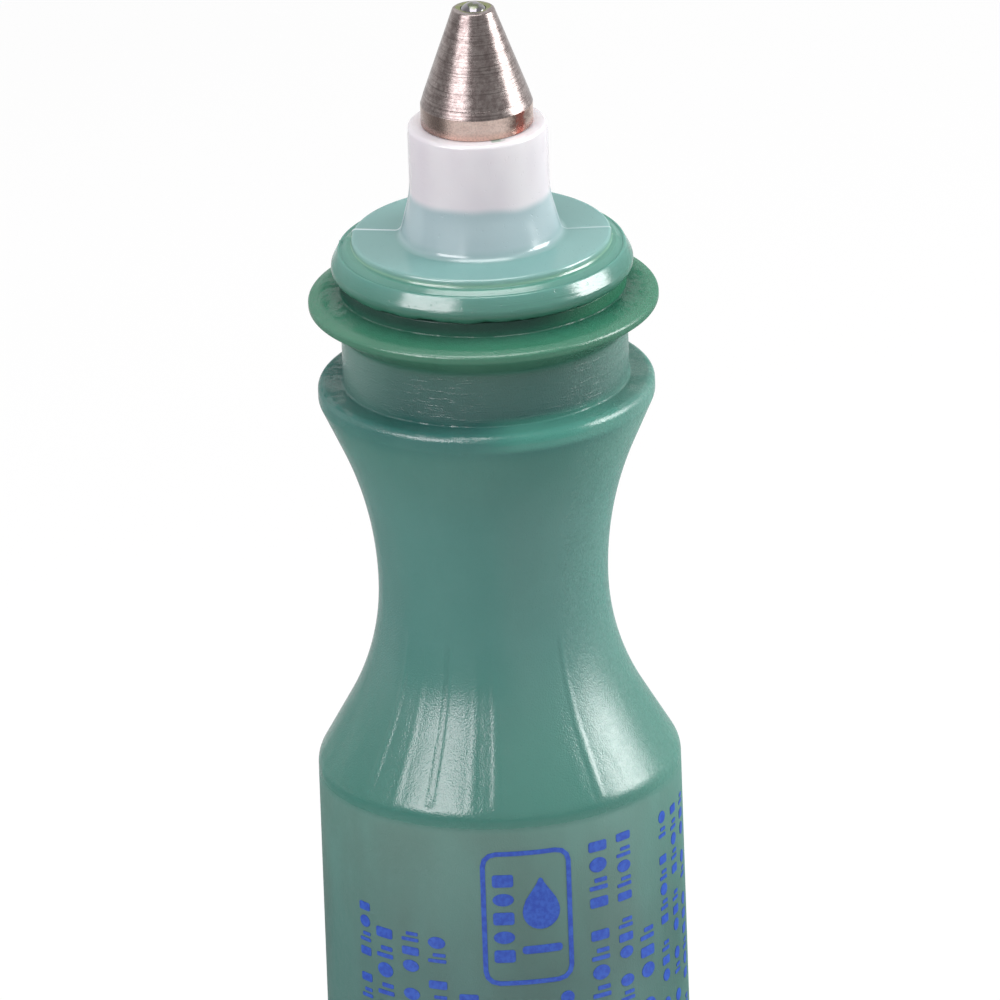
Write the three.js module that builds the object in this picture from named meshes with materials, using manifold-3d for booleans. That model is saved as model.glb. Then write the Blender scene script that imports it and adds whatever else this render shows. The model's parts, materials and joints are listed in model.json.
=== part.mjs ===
// Ball-tip paint marker: a blow-moulded squeeze bottle with a gripping waist, a moulded nozzle plug
// pressed into its neck, and a turned steel tip that holds a writing ball on a sprung follower.
// Units are millimetres and degrees. +Z is up, and the origin is the middle of the foot.

import * as THREE from "three";
import { mergeVertices } from "three/addons/utils/BufferGeometryUtils.js";
import Module from "manifold-3d";

const wasm = await Module();
wasm.setup();

// Bottle: foot, body and waist
const BODY_RADIUS = 13;
const BODY_LENGTH = 93; // foot to the corner where the flare begins
const BOTTLE_WALL = 1;
const HEEL_RADIUS = 2;
const FOOT_RING_WIDTH = 2.2;
const PUSH_UP_HEIGHT = 1.6;
const PUSH_UP_SLOPE_WIDTH = 2.8;
const PUSH_UP_BLEND = 1.5;
const BODY_CORNER_RADIUS = 2;
const FLARE_ANGLE = 30; // slope of the flare below the waist, from the axis
const FLARE_BLEND_RADIUS = 18.5;
const WAIST_RADIUS = 8.2;
const GRIP_ANGLE = 24; // slope of the cone above the waist, from the axis
const GRIP_BLEND_RADIUS = 26.5;

// Bottle: shoulder bead, groove, collar and neck
const BEAD_RADIUS = 12;
const BEAD_HEIGHT = 1.3;
const BEAD_EDGE_RADIUS = 0.9;
const GROOVE_HEIGHT = 4.1; // bead to the root of the collar
const NECK_RADIUS = 10.2;
const NECK_WALL = 1.4;
const NECK_CORNER_RADIUS = 0.25;
const COLLAR_RADIUS = 12.48;
const COLLAR_ROOT_THICKNESS = 2.8;
const COLLAR_RIM_THICKNESS = 1.05;
const COLLAR_RIM_RISE = 2.15; // middle of the rim above the underside of the root
const NECK_LAND_HEIGHT = 1.1; // top of the collar's root to the top of the neck

// Nozzle plug
const RIM_FLANGE_OVERHANG = 0.55; // past the neck
const RIM_FLANGE_THICKNESS = 1.95;
const RIM_FLANGE_EDGE_RADIUS = 0.9;
const DISC_SETBACK = 1.55; // behind the rim flange
const DISC_STEP = 0.9;
const PLUG_ROOF_THICKNESS = 1.4;
const PLUG_INNER_FILLET = 1;
const STEM_RADIUS = 4.95;
const STEM_HEIGHT = 8.45; // above the disc
const STEM_BORE_RADIUS = 3.05;
const STEM_FOOT_SPREAD = 0.85;
const STEM_FOOT_HEIGHT = 1.7;
const STEM_FOOT_BLEND = 6.8;
const SKIRT_LENGTH = 7.4;
const SKIRT_WALL = 1.1;
const SKIRT_LEAD_IN = 0.7;
const SEAL_BEAD_COUNT = 2;
const SEAL_BEAD_PITCH = 2.4;
const SEAL_BEAD_WIDTH = 1.1;
const SEAL_BEAD_HEIGHT = 0.3;

// Steel tip
const BAND_RADIUS = 4;
const BAND_HEIGHT = 1.55;
const BEVEL_HEIGHT = 0.45;
const BEVEL_DEPTH = 0.12;
const CONE_HEIGHT = 6.65;
const NOSE_RADIUS = 1.58;
const SHANK_LENGTH = 5.1;
const SHANK_BARB_COUNT = 3;
const SHANK_BARB_HEIGHT = 0.18;
const SHANK_BARB_EDGE = 0.1;
const TIP_BORE_RADIUS = 1.65;

// Writing ball, follower, spring and retainer
const WRITING_BALL_RADIUS = 1.1;
const BALL_PROTRUSION = 0.43;
const FOLLOWER_NECK_LENGTH = 1.3; // ball to the collar
const FOLLOWER_CUP_RIM = 0.07;
const FOLLOWER_COLLAR_HEIGHT = 0.6;
const FOLLOWER_TAIL_LENGTH = 3;
const FOLLOWER_FLUTE_COUNT = 3;
const FOLLOWER_FLUTE_RADIUS = 0.4;
const SPRING_WIRE_RADIUS = 0.15;
const SPRING_COILS = 8;
const RETAINER_HEIGHT = 1.2;
const RETAINER_BORE_RADIUS = 0.7;
const RETAINER_CHAMFER = 0.25;

// Contents
const MIXING_BALL_RADIUS = 4;

// Clearances
const PRESS_GAP = 0.05; // radial, between pressed pieces
const BALL_GAP = 0.04; // round the writing ball
const FOLLOWER_HEAD_GAP = 0.24; // round the follower's head
const FOLLOWER_COLLAR_GAP = 0.2; // round the follower's collar
const FOLLOWER_TOP_GAP = 0.5; // over the follower's collar
const FOLLOWER_TAIL_GAP = 0.4; // inside the spring
const SPRING_BORE_GAP = 0.35; // round the spring
const SPRING_SEAT_GAP = 0.05; // at each end of the spring
const MIXING_BALL_GAP = 0.15;
const PAINT_GAP = 0.3;

// Facets
const BODY_SEGMENTS = 40;
const TIP_SEGMENTS = 28;
const BALL_SEGMENTS = 20;
const PAINT_SEGMENTS = 24;
const FLUTE_SEGMENTS = 12;
const WIRE_SIDES = 5;
const STEPS_PER_COIL = 8;
const ARC_SAG = 0.05; // how far a rounded corner's chord may lie from its arc
const EDGE_BREAK = 0.2; // small rounding of a free edge

const radians = THREE.MathUtils.degToRad;

// Radii worked out from the driving sizes
const footInnerRadius = BODY_RADIUS - HEEL_RADIUS - FOOT_RING_WIDTH;
const pushUpRadius = footInnerRadius - PUSH_UP_SLOPE_WIDTH;
const neckBoreRadius = NECK_RADIUS - NECK_WALL;
const skirtRadius = neckBoreRadius - PRESS_GAP - SEAL_BEAD_HEIGHT;
const skirtInnerRadius = skirtRadius - SKIRT_WALL;
const rimFlangeRadius = NECK_RADIUS + RIM_FLANGE_OVERHANG;
const discRadius = rimFlangeRadius - DISC_SETBACK;
const shankRadius = STEM_BORE_RADIUS - PRESS_GAP - SHANK_BARB_HEIGHT;
const seatRadius = WRITING_BALL_RADIUS + BALL_GAP;
const followerHeadRadius = seatRadius - FOLLOWER_HEAD_GAP;
const followerCollarRadius = TIP_BORE_RADIUS - FOLLOWER_COLLAR_GAP;
const springMeanRadius = TIP_BORE_RADIUS - SPRING_BORE_GAP - SPRING_WIRE_RADIUS;
const followerTailRadius = springMeanRadius - SPRING_WIRE_RADIUS - FOLLOWER_TAIL_GAP;
const mixingBallReach = BODY_RADIUS - BOTTLE_WALL - MIXING_BALL_GAP - MIXING_BALL_RADIUS;

// Heights, from the foot up
const flareRootZ = BODY_LENGTH + (BODY_RADIUS - WAIST_RADIUS) / Math.tan(radians(FLARE_ANGLE));
const flareTangent = FLARE_BLEND_RADIUS * Math.tan(radians(FLARE_ANGLE / 2));
const gripTangent = GRIP_BLEND_RADIUS * Math.tan(radians(GRIP_ANGLE / 2));
const gripRootZ = flareRootZ + flareTangent + gripTangent;
const beadZ = gripRootZ + (BEAD_RADIUS - WAIST_RADIUS) / Math.tan(radians(GRIP_ANGLE));
const grooveZ = beadZ + BEAD_HEIGHT;
const collarRootZ = grooveZ + GROOVE_HEIGHT;
const collarRimZ = collarRootZ + COLLAR_RIM_RISE;
const collarTopZ = collarRootZ + COLLAR_ROOT_THICKNESS;
const neckTopZ = collarTopZ + NECK_LAND_HEIGHT;
const skirtEndZ = neckTopZ - SKIRT_LENGTH;
const rimFlangeTopZ = neckTopZ + RIM_FLANGE_THICKNESS;
const discTopZ = rimFlangeTopZ + DISC_STEP;
const roofZ = discTopZ - PLUG_ROOF_THICKNESS;
const stemTopZ = discTopZ + STEM_HEIGHT;
const bandTopZ = stemTopZ + BAND_HEIGHT;
const coneFootZ = bandTopZ + BEVEL_HEIGHT;
const noseZ = coneFootZ + CONE_HEIGHT;
const shankEndZ = stemTopZ - SHANK_LENGTH;
const ballZ = noseZ + BALL_PROTRUSION - WRITING_BALL_RADIUS;
const followerCollarTopZ = ballZ - WRITING_BALL_RADIUS - FOLLOWER_NECK_LENGTH;
const followerCollarFootZ = followerCollarTopZ - FOLLOWER_COLLAR_HEIGHT;
const tipBoreTopZ = followerCollarTopZ + FOLLOWER_TOP_GAP;
const retainerTopZ = shankEndZ + RETAINER_HEIGHT;

// Points of an outline whose corners are rounded. A corner is [radius, height, fillet], and a fillet
// is no longer than the straight stretches beside it.
function roundedOutline(corners, closed) {
  const points = [];
  const last = corners.length - 1;
  corners.forEach(([r, z, fillet = 0], i) => {
    const here = new THREE.Vector2(r, z);
    if (!fillet || (!closed && (i === 0 || i === last))) {
      points.push(here);
      return;
    }
    const before = new THREE.Vector2(...corners[i === 0 ? last : i - 1].slice(0, 2));
    const after = new THREE.Vector2(...corners[i === last ? 0 : i + 1].slice(0, 2));
    const room = 0.95 * Math.min(here.distanceTo(before), here.distanceTo(after));
    const inward = before.sub(here).normalize();
    const outward = after.sub(here).normalize();
    const turn = Math.PI - Math.acos(THREE.MathUtils.clamp(inward.dot(outward), -1, 1));
    const tangent = Math.min(fillet * Math.tan(turn / 2), room);
    const radius = tangent / Math.tan(turn / 2);
    const middle = inward.clone().add(outward).normalize();
    const centre = here.clone().addScaledVector(middle, radius / Math.cos(turn / 2));
    const start = here.clone().addScaledVector(inward, tangent).sub(centre);
    const end = here.clone().addScaledVector(outward, tangent).sub(centre);
    const sweep = Math.atan2(start.cross(end), start.dot(end));
    const widestStep = 2 * Math.acos(1 - Math.min(ARC_SAG / radius, 0.5));
    const steps = Math.max(2, Math.ceil(Math.abs(sweep) / widestStep));
    for (let step = 0; step <= steps; step++) {
      const spoke = start.clone().rotateAround(new THREE.Vector2(), (sweep * step) / steps);
      points.push(centre.clone().add(spoke));
    }
  });
  return points;
}

// A solid of revolution about Z. The outline runs anticlockwise with radius across and height up.
function turned(points, segments) {
  const closed = Math.abs(points[0].x) > 1e-6;
  const outline = closed ? [...points, points[0].clone()] : points;
  return new THREE.LatheGeometry(outline, segments).rotateX(Math.PI / 2);
}

function ball(radius) {
  return new THREE.SphereGeometry(radius, BALL_SEGMENTS, BALL_SEGMENTS / 2).rotateX(Math.PI / 2);
}

// A manifold-3d solid of a closed geometry.
function toSolid(geometry) {
  const bare = geometry.clone();
  bare.deleteAttribute("normal");
  bare.deleteAttribute("uv");
  const merged = mergeVertices(bare, 1e-4);
  const triVerts = new Uint32Array(merged.index.array);
  const vertProperties = merged.attributes.position.array;
  return new wasm.Manifold(new wasm.Mesh({ numProp: 3, vertProperties, triVerts }));
}

// A flat-shaded geometry of a manifold-3d solid.
function toGeometry(solid) {
  const mesh = solid.getMesh();
  const shared = new THREE.BufferGeometry();
  shared.setAttribute("position", new THREE.BufferAttribute(mesh.vertProperties, 3));
  shared.setIndex(new THREE.BufferAttribute(mesh.triVerts, 1));
  const geometry = shared.toNonIndexed();
  geometry.computeVertexNormals();
  return geometry;
}

// The bottle's inside, from the middle of its floor to the foot of the neck's bore, drawn in by the
// wall and a further gap. A slope that is drawn in square to itself meets the next stretch a
// little lower or higher, which is what the shifts are.
function insideCorners(gap) {
  const inset = BOTTLE_WALL + gap;
  const cavityRadius = BODY_RADIUS - inset;
  const waist = WAIST_RADIUS - inset;
  const pushUpSlope = Math.atan2(PUSH_UP_HEIGHT, PUSH_UP_SLOPE_WIDTH);
  const pushUpShift = inset * Math.tan(pushUpSlope / 2);
  const flareShift = inset * Math.tan(radians(FLARE_ANGLE / 2));
  const gripShift = inset * Math.tan(radians(GRIP_ANGLE / 2));
  return [
    [0, PUSH_UP_HEIGHT + inset],
    [pushUpRadius + pushUpShift, PUSH_UP_HEIGHT + inset, PUSH_UP_BLEND + inset],
    [footInnerRadius + pushUpShift, inset, PUSH_UP_BLEND / 2],
    [cavityRadius, inset, Math.max(HEEL_RADIUS - inset, EDGE_BREAK)],
    [cavityRadius, BODY_LENGTH - flareShift, Math.max(BODY_CORNER_RADIUS - inset, EDGE_BREAK)],
    [waist, flareRootZ - flareShift, FLARE_BLEND_RADIUS + inset],
    [waist, gripRootZ + gripShift, GRIP_BLEND_RADIUS + inset],
    [BEAD_RADIUS - inset, grooveZ - inset, EDGE_BREAK],
    [neckBoreRadius - gap, grooveZ - inset],
  ];
}

function bottle() {
  const rimHalf = COLLAR_RIM_THICKNESS / 2;
  const rimEdge = rimHalf * 0.5;
  const outside = [
    [neckBoreRadius, neckTopZ],
    [NECK_RADIUS, neckTopZ],
    [NECK_RADIUS, collarTopZ, NECK_CORNER_RADIUS],
    [COLLAR_RADIUS, collarRimZ + rimHalf, rimEdge],
    [COLLAR_RADIUS, collarRimZ - rimHalf, rimEdge],
    [NECK_RADIUS, collarRootZ, NECK_CORNER_RADIUS],
    [NECK_RADIUS, grooveZ, NECK_CORNER_RADIUS],
    [BEAD_RADIUS, grooveZ, BEAD_EDGE_RADIUS],
    [BEAD_RADIUS, beadZ, BEAD_EDGE_RADIUS],
    [WAIST_RADIUS, gripRootZ, GRIP_BLEND_RADIUS],
    [WAIST_RADIUS, flareRootZ, FLARE_BLEND_RADIUS],
    [BODY_RADIUS, BODY_LENGTH, BODY_CORNER_RADIUS],
    [BODY_RADIUS, 0, HEEL_RADIUS],
    [footInnerRadius, 0, PUSH_UP_BLEND / 2],
    [pushUpRadius, PUSH_UP_HEIGHT, PUSH_UP_BLEND],
    [0, PUSH_UP_HEIGHT],
  ];
  const corners = [...insideCorners(0), ...outside].reverse();
  return turned(roundedOutline(corners, false), BODY_SEGMENTS);
}

// Corners of evenly spaced ridges up a shaft. A ridge is [foot, crest, top] above its own middle.
function ridges(count, pitch, firstZ, radius, height, [foot, crest, top]) {
  const corners = [];
  for (let i = 0; i < count; i++) {
    const middleZ = firstZ + pitch * i;
    corners.push([radius, middleZ + foot]);
    corners.push([radius + height, middleZ + crest]);
    corners.push([radius, middleZ + top]);
  }
  return corners;
}

function nozzlePlug() {
  const half = SEAL_BEAD_WIDTH / 2;
  const firstBeadZ = neckTopZ - SEAL_BEAD_PITCH * SEAL_BEAD_COUNT;
  const corners = [
    [STEM_BORE_RADIUS, stemTopZ],
    [STEM_BORE_RADIUS, roofZ, EDGE_BREAK],
    [skirtInnerRadius, roofZ, PLUG_INNER_FILLET],
    [skirtInnerRadius, skirtEndZ, EDGE_BREAK],
    [skirtRadius - SKIRT_LEAD_IN / 2, skirtEndZ, EDGE_BREAK],
    [skirtRadius, skirtEndZ + SKIRT_LEAD_IN],
    ...ridges(SEAL_BEAD_COUNT, SEAL_BEAD_PITCH, firstBeadZ, skirtRadius, SEAL_BEAD_HEIGHT, [-half, 0, half]),
    [skirtRadius, neckTopZ],
    [rimFlangeRadius, neckTopZ, RIM_FLANGE_EDGE_RADIUS],
    [rimFlangeRadius, rimFlangeTopZ, RIM_FLANGE_EDGE_RADIUS],
    [discRadius, rimFlangeTopZ],
    [discRadius, discTopZ, EDGE_BREAK],
    [STEM_RADIUS + STEM_FOOT_SPREAD, discTopZ],
    [STEM_RADIUS, discTopZ + STEM_FOOT_HEIGHT, STEM_FOOT_BLEND],
    [STEM_RADIUS, stemTopZ, EDGE_BREAK],
  ];
  return turned(roundedOutline(corners, true), BODY_SEGMENTS);
}

// The mouth and the seat below it are one arc round the ball's middle, so the ball cannot leave.
function tipBody() {
  const seatSteps = 5;
  const mouthAngle = Math.asin((noseZ - ballZ) / seatRadius);
  const seat = [];
  for (let i = 0; i <= seatSteps; i++) {
    const angle = mouthAngle * (1 - i / seatSteps);
    seat.push([seatRadius * Math.cos(angle), ballZ + seatRadius * Math.sin(angle)]);
  }
  const pitch = SHANK_LENGTH / (SHANK_BARB_COUNT + 1);
  const barb = [-pitch / 2, -SHANK_BARB_EDGE, 0];
  const corners = [
    ...seat,
    [seatRadius, tipBoreTopZ + TIP_BORE_RADIUS - seatRadius],
    [TIP_BORE_RADIUS, tipBoreTopZ],
    [TIP_BORE_RADIUS, shankEndZ],
    [shankRadius, shankEndZ, EDGE_BREAK],
    ...ridges(SHANK_BARB_COUNT, pitch, shankEndZ + pitch, shankRadius, SHANK_BARB_HEIGHT, barb),
    [shankRadius, stemTopZ],
    [BAND_RADIUS, stemTopZ, EDGE_BREAK],
    [BAND_RADIUS, bandTopZ],
    [BAND_RADIUS - BEVEL_DEPTH, coneFootZ],
    [NOSE_RADIUS, noseZ, EDGE_BREAK],
  ];
  return turned(roundedOutline(corners, true), TIP_SEGMENTS);
}

// The follower's cup carries the ball, its collar stands on the spring and its tail keeps the
// spring straight. Flutes round the collar let the paint past.
function ballFollower() {
  const cupSteps = 4;
  const cupAngle = Math.asin((followerHeadRadius - FOLLOWER_CUP_RIM) / seatRadius);
  const corners = [
    [0, followerCollarFootZ - FOLLOWER_TAIL_LENGTH],
    [followerTailRadius, followerCollarFootZ - FOLLOWER_TAIL_LENGTH, EDGE_BREAK],
    [followerTailRadius, followerCollarFootZ],
    [followerCollarRadius, followerCollarFootZ],
    [followerCollarRadius, followerCollarTopZ, EDGE_BREAK],
    [followerHeadRadius, followerCollarTopZ],
    [followerHeadRadius, ballZ - seatRadius * Math.cos(cupAngle)],
  ];
  for (let i = 0; i <= cupSteps; i++) {
    const angle = cupAngle * (1 - i / cupSteps);
    corners.push([seatRadius * Math.sin(angle), ballZ - seatRadius * Math.cos(angle)]);
  }
  let solid = toSolid(turned(roundedOutline(corners, false), BALL_SEGMENTS));
  const fluteZ = (followerCollarTopZ + followerCollarFootZ) / 2;
  for (let i = 0; i < FOLLOWER_FLUTE_COUNT; i++) {
    const turn = (2 * Math.PI * i) / FOLLOWER_FLUTE_COUNT;
    const length = FOLLOWER_COLLAR_HEIGHT * 2;
    const flute = new THREE.CylinderGeometry(
      FOLLOWER_FLUTE_RADIUS, FOLLOWER_FLUTE_RADIUS, length, FLUTE_SEGMENTS,
    );
    flute.rotateX(Math.PI / 2).translate(followerCollarRadius, 0, fluteZ).rotateZ(turn);
    solid = solid.subtract(toSolid(flute));
  }
  return toGeometry(solid);
}

// One unbroken wire: a helix of rings, joined side by side and closed at both ends.
function valveSpring() {
  const footZ = retainerTopZ + SPRING_SEAT_GAP + SPRING_WIRE_RADIUS;
  const headZ = followerCollarFootZ - SPRING_SEAT_GAP - SPRING_WIRE_RADIUS;
  const rings = SPRING_COILS * STEPS_PER_COIL;
  const positions = [];
  for (let i = 0; i <= rings; i++) {
    const angle = (2 * Math.PI * i) / STEPS_PER_COIL;
    const middleZ = THREE.MathUtils.lerp(footZ, headZ, i / rings);
    for (let j = 0; j < WIRE_SIDES; j++) {
      const round = (2 * Math.PI * j) / WIRE_SIDES;
      const radius = springMeanRadius + SPRING_WIRE_RADIUS * Math.cos(round);
      const z = middleZ + SPRING_WIRE_RADIUS * Math.sin(round);
      positions.push(radius * Math.cos(angle), radius * Math.sin(angle), z);
    }
  }
  const indices = [];
  const lastRing = rings * WIRE_SIDES;
  for (let a = 0; a < lastRing; a++) {
    const b = a % WIRE_SIDES === WIRE_SIDES - 1 ? a + 1 - WIRE_SIDES : a + 1;
    indices.push(a, a + WIRE_SIDES, b);
    indices.push(b, a + WIRE_SIDES, b + WIRE_SIDES);
  }
  for (let j = 1; j < WIRE_SIDES - 1; j++) {
    indices.push(0, j, j + 1);
    indices.push(lastRing, lastRing + j + 1, lastRing + j);
  }
  const geometry = new THREE.BufferGeometry();
  geometry.setAttribute("position", new THREE.Float32BufferAttribute(positions, 3));
  geometry.setIndex(indices);
  geometry.computeVertexNormals();
  console.log(`valve spring: least gap between coils ${leastCoilGap(geometry).toFixed(2)} mm`);
  return geometry;
}

// Least distance between the points of one ring and those of the ring a coil further up.
function leastCoilGap(geometry) {
  const points = geometry.attributes.position;
  const perCoil = WIRE_SIDES * STEPS_PER_COIL;
  const here = new THREE.Vector3();
  const above = new THREE.Vector3();
  let least = Infinity;
  for (let i = 0; i + perCoil < points.count; i++) {
    here.fromBufferAttribute(points, i);
    const ring = i - (i % WIRE_SIDES) + perCoil;
    for (let j = 0; j < WIRE_SIDES; j++) {
      above.fromBufferAttribute(points, ring + j);
      least = Math.min(least, here.distanceTo(above));
    }
  }
  return least;
}

function springRetainer() {
  const outer = TIP_BORE_RADIUS - PRESS_GAP;
  const corners = [
    [RETAINER_BORE_RADIUS, retainerTopZ],
    [RETAINER_BORE_RADIUS, shankEndZ + RETAINER_CHAMFER],
    [RETAINER_BORE_RADIUS + RETAINER_CHAMFER, shankEndZ],
    [outer, shankEndZ],
    [outer, retainerTopZ],
  ];
  return turned(roundedOutline(corners, true), TIP_SEGMENTS);
}

// Height of a ball's middle when it lies on the bottle's floor, a gap off it, at that reach.
function restingHeight(reach, radius) {
  const samples = 12;
  const floor = roundedOutline(insideCorners(0), false).filter((point) => point.y < BODY_LENGTH / 2);
  let height = 0;
  for (let i = 1; i < floor.length; i++) {
    for (let step = 0; step <= samples; step++) {
      const point = floor[i - 1].clone().lerp(floor[i], step / samples);
      const aside = Math.min(Math.abs(point.x - reach), radius);
      height = Math.max(height, point.y + Math.sqrt(radius ** 2 - aside ** 2));
    }
  }
  return height;
}

const mixingBallZ = restingHeight(mixingBallReach, MIXING_BALL_RADIUS + MIXING_BALL_GAP);

// The paint fills the bottle, the inside of the plug and its bore up to the tip's shank, and
// leaves the mixing ball's place free.
function paintCharge() {
  const corners = [
    ...insideCorners(PAINT_GAP),
    [neckBoreRadius - PAINT_GAP, skirtEndZ - PAINT_GAP],
    [skirtInnerRadius - PAINT_GAP, skirtEndZ - PAINT_GAP],
    [skirtInnerRadius - PAINT_GAP, roofZ - PAINT_GAP, PLUG_INNER_FILLET],
    [STEM_BORE_RADIUS - PAINT_GAP, roofZ - PAINT_GAP],
    [STEM_BORE_RADIUS - PAINT_GAP, shankEndZ - PAINT_GAP],
    [0, shankEndZ - PAINT_GAP],
  ];
  const charge = toSolid(turned(roundedOutline(corners, false), PAINT_SEGMENTS));
  const pocket = ball(MIXING_BALL_RADIUS + PAINT_GAP).translate(mixingBallReach, 0, mixingBallZ);
  return toGeometry(charge.subtract(toSolid(pocket)));
}

const FINISHES = {
  bottlePlastic: { color: 0x5d9389, roughness: 0.42, metalness: 0 },
  nozzlePlastic: { color: 0xd9d6da, roughness: 0.35, metalness: 0 },
  turnedSteel: { color: 0xb9b2ac, roughness: 0.3, metalness: 1 },
  ballSteel: { color: 0xcfcfcf, roughness: 0.12, metalness: 1 },
  followerPlastic: { color: 0xe8e6e0, roughness: 0.5, metalness: 0 },
  springSteel: { color: 0xa9abad, roughness: 0.3, metalness: 1 },
  retainerBrass: { color: 0xc7a55a, roughness: 0.35, metalness: 1 },
  paint: { color: 0x2f7a5e, roughness: 0.3, metalness: 0 },
};

function piece(name, geometry, finish) {
  const mesh = new THREE.Mesh(geometry, new THREE.MeshStandardMaterial(FINISHES[finish]));
  mesh.name = name;
  return mesh;
}

const writingBall = piece("writing_ball", ball(WRITING_BALL_RADIUS), "ballSteel");
writingBall.position.set(0, 0, ballZ);

const mixingBall = piece("mixing_ball", ball(MIXING_BALL_RADIUS), "ballSteel");
mixingBall.position.set(mixingBallReach, 0, mixingBallZ);

const tip = new THREE.Group();
tip.add(
  piece("tip_body", tipBody(), "turnedSteel"),
  writingBall,
  piece("ball_follower", ballFollower(), "followerPlastic"),
  piece("valve_spring", valveSpring(), "springSteel"),
  piece("spring_retainer", springRetainer(), "retainerBrass"),
);

const marker = new THREE.Group();
marker.add(
  piece("bottle", bottle(), "bottlePlastic"),
  piece("nozzle_plug", nozzlePlug(), "nozzlePlastic"),
  piece("paint_charge", paintCharge(), "paint"),
  mixingBall,
  tip,
);

export default marker;
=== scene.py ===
"""Looks of a ball-tip paint marker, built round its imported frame.

Sizes are millimetres in the classes and metres in Blender. +Z is up, the viewer is at -Y, and the
origin is the middle of the bottle's foot.
"""

import json
import logging
import math
from dataclasses import dataclass
from enum import Enum
from typing import Callable, ClassVar

import bpy
from mathutils import Matrix, Vector

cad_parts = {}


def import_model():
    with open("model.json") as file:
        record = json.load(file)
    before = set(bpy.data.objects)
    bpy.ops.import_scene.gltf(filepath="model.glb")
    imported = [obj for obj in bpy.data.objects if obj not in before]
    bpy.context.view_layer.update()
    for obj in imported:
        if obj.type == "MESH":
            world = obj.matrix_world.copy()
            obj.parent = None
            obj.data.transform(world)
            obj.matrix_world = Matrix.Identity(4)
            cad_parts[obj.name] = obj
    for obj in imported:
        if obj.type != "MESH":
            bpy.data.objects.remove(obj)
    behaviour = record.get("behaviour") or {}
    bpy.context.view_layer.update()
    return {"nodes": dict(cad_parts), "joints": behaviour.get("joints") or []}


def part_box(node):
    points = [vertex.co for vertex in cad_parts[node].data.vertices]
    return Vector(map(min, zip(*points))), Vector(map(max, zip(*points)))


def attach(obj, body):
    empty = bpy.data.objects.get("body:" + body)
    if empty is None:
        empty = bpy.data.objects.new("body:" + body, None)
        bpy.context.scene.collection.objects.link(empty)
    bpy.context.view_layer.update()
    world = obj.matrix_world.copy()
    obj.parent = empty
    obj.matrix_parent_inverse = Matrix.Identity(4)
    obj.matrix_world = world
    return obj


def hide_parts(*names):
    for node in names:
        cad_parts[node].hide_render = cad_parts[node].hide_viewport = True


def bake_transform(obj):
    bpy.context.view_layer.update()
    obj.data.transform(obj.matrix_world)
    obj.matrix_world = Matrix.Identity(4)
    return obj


MM = 0.001
MERGE_DISTANCE = 1e-7
SIDE_SHARE = 0.95
FEWEST_CHORDS = 3
LOG = logging.getLogger("marker")
Piece = bpy.types.Object
Socket = bpy.types.NodeSocket
Point = tuple[float, float]
Span = tuple[float, float]
Triple = tuple[float, float, float]
Colour = tuple[int, int, int]


class Body(Enum):
    """Bodies of the frame that pieces ride on."""

    BARREL = "barrel"
    FOLLOWER = "follower"
    WRITING_BALL = "writing_ball"
    MIXING_BALL = "mixing_ball"


class Slot(Enum):
    """Material slots of the record."""

    BOTTLE = "bottle_plastic"
    NOZZLE = "nozzle_plastic"
    BALL = "ball_steel"
    STEEL = "turned_steel"
    SPRING = "spring_steel"
    PAINT = "paint"


def linear(colour: Colour) -> tuple[float, float, float, float]:
    """Turns a display colour into a linear one.

    Args:
        colour: Red, green and blue from 0 to 255.

    Returns:
        The linear colour with an alpha of 1.
    """
    parts = []
    for part in colour:
        share = part / 255
        parts.append(share / 12.92 if share <= 0.04045 else ((share + 0.055) / 1.055) ** 2.4)
    return parts[0], parts[1], parts[2], 1.0


@dataclass(frozen=True)
class Corner:
    """A corner of an outline: radius, height and the radius of its rounding, in millimetres."""

    r: float
    z: float
    fillet: float = 0.0


def rounded(
    corners: list[Corner], closed: bool = False, turn_step: float = 7.0, chord: float = 0.6
) -> list[Point]:
    """Rounds the corners of an outline with arcs.

    Args:
        corners: The corners in order.
        closed: Whether the last corner joins the first.
        turn_step: The widest turn of one chord of an arc, in degrees.
        chord: The longest chord of an arc, in millimetres.

    Returns:
        The points of the outline.
    """
    points: list[Point] = []
    last = len(corners) - 1
    for i, corner in enumerate(corners):
        here = Vector((corner.r, corner.z))
        if not corner.fillet or (not closed and i in (0, last)):
            points.append((corner.r, corner.z))
            continue
        before = corners[i - 1]
        after = corners[0 if i == last else i + 1]
        inward = Vector((before.r, before.z)) - here
        outward = Vector((after.r, after.z)) - here
        room = SIDE_SHARE * min(inward.length, outward.length)
        inward.normalize()
        outward.normalize()
        turn = math.pi - math.acos(max(-1.0, min(1.0, inward.dot(outward))))
        tangent = min(corner.fillet * math.tan(turn / 2), room)
        radius = tangent / math.tan(turn / 2)
        centre = here + (inward + outward).normalized() * radius / math.cos(turn / 2)
        start = here + inward * tangent - centre
        end = here + outward * tangent - centre
        sweep = math.atan2(start.cross(end), start.dot(end))
        by_turn = math.ceil(abs(math.degrees(sweep)) / turn_step)
        by_length = math.ceil(abs(sweep) * radius / chord)
        steps = max(FEWEST_CHORDS, by_turn, by_length)
        for step in range(steps + 1):
            spoke = centre + Matrix.Rotation(sweep * step / steps, 2) @ start
            points.append((spoke.x, spoke.y))
    return points


def divided(points: list[Point], longest: float) -> list[Point]:
    """Adds points to an outline, so that no stretch of it is long.

    Args:
        points: The outline.
        longest: The longest stretch left, in millimetres.

    Returns:
        The outline with the added points.
    """
    made = [points[0]]
    for (r0, z0), (r1, z1) in zip(points, points[1:]):
        count = max(1, math.ceil(math.hypot(r1 - r0, z1 - z0) / longest))
        for step in range(1, count + 1):
            share = step / count
            made.append((r0 + (r1 - r0) * share, z0 + (z1 - z0) * share))
    return made


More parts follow.
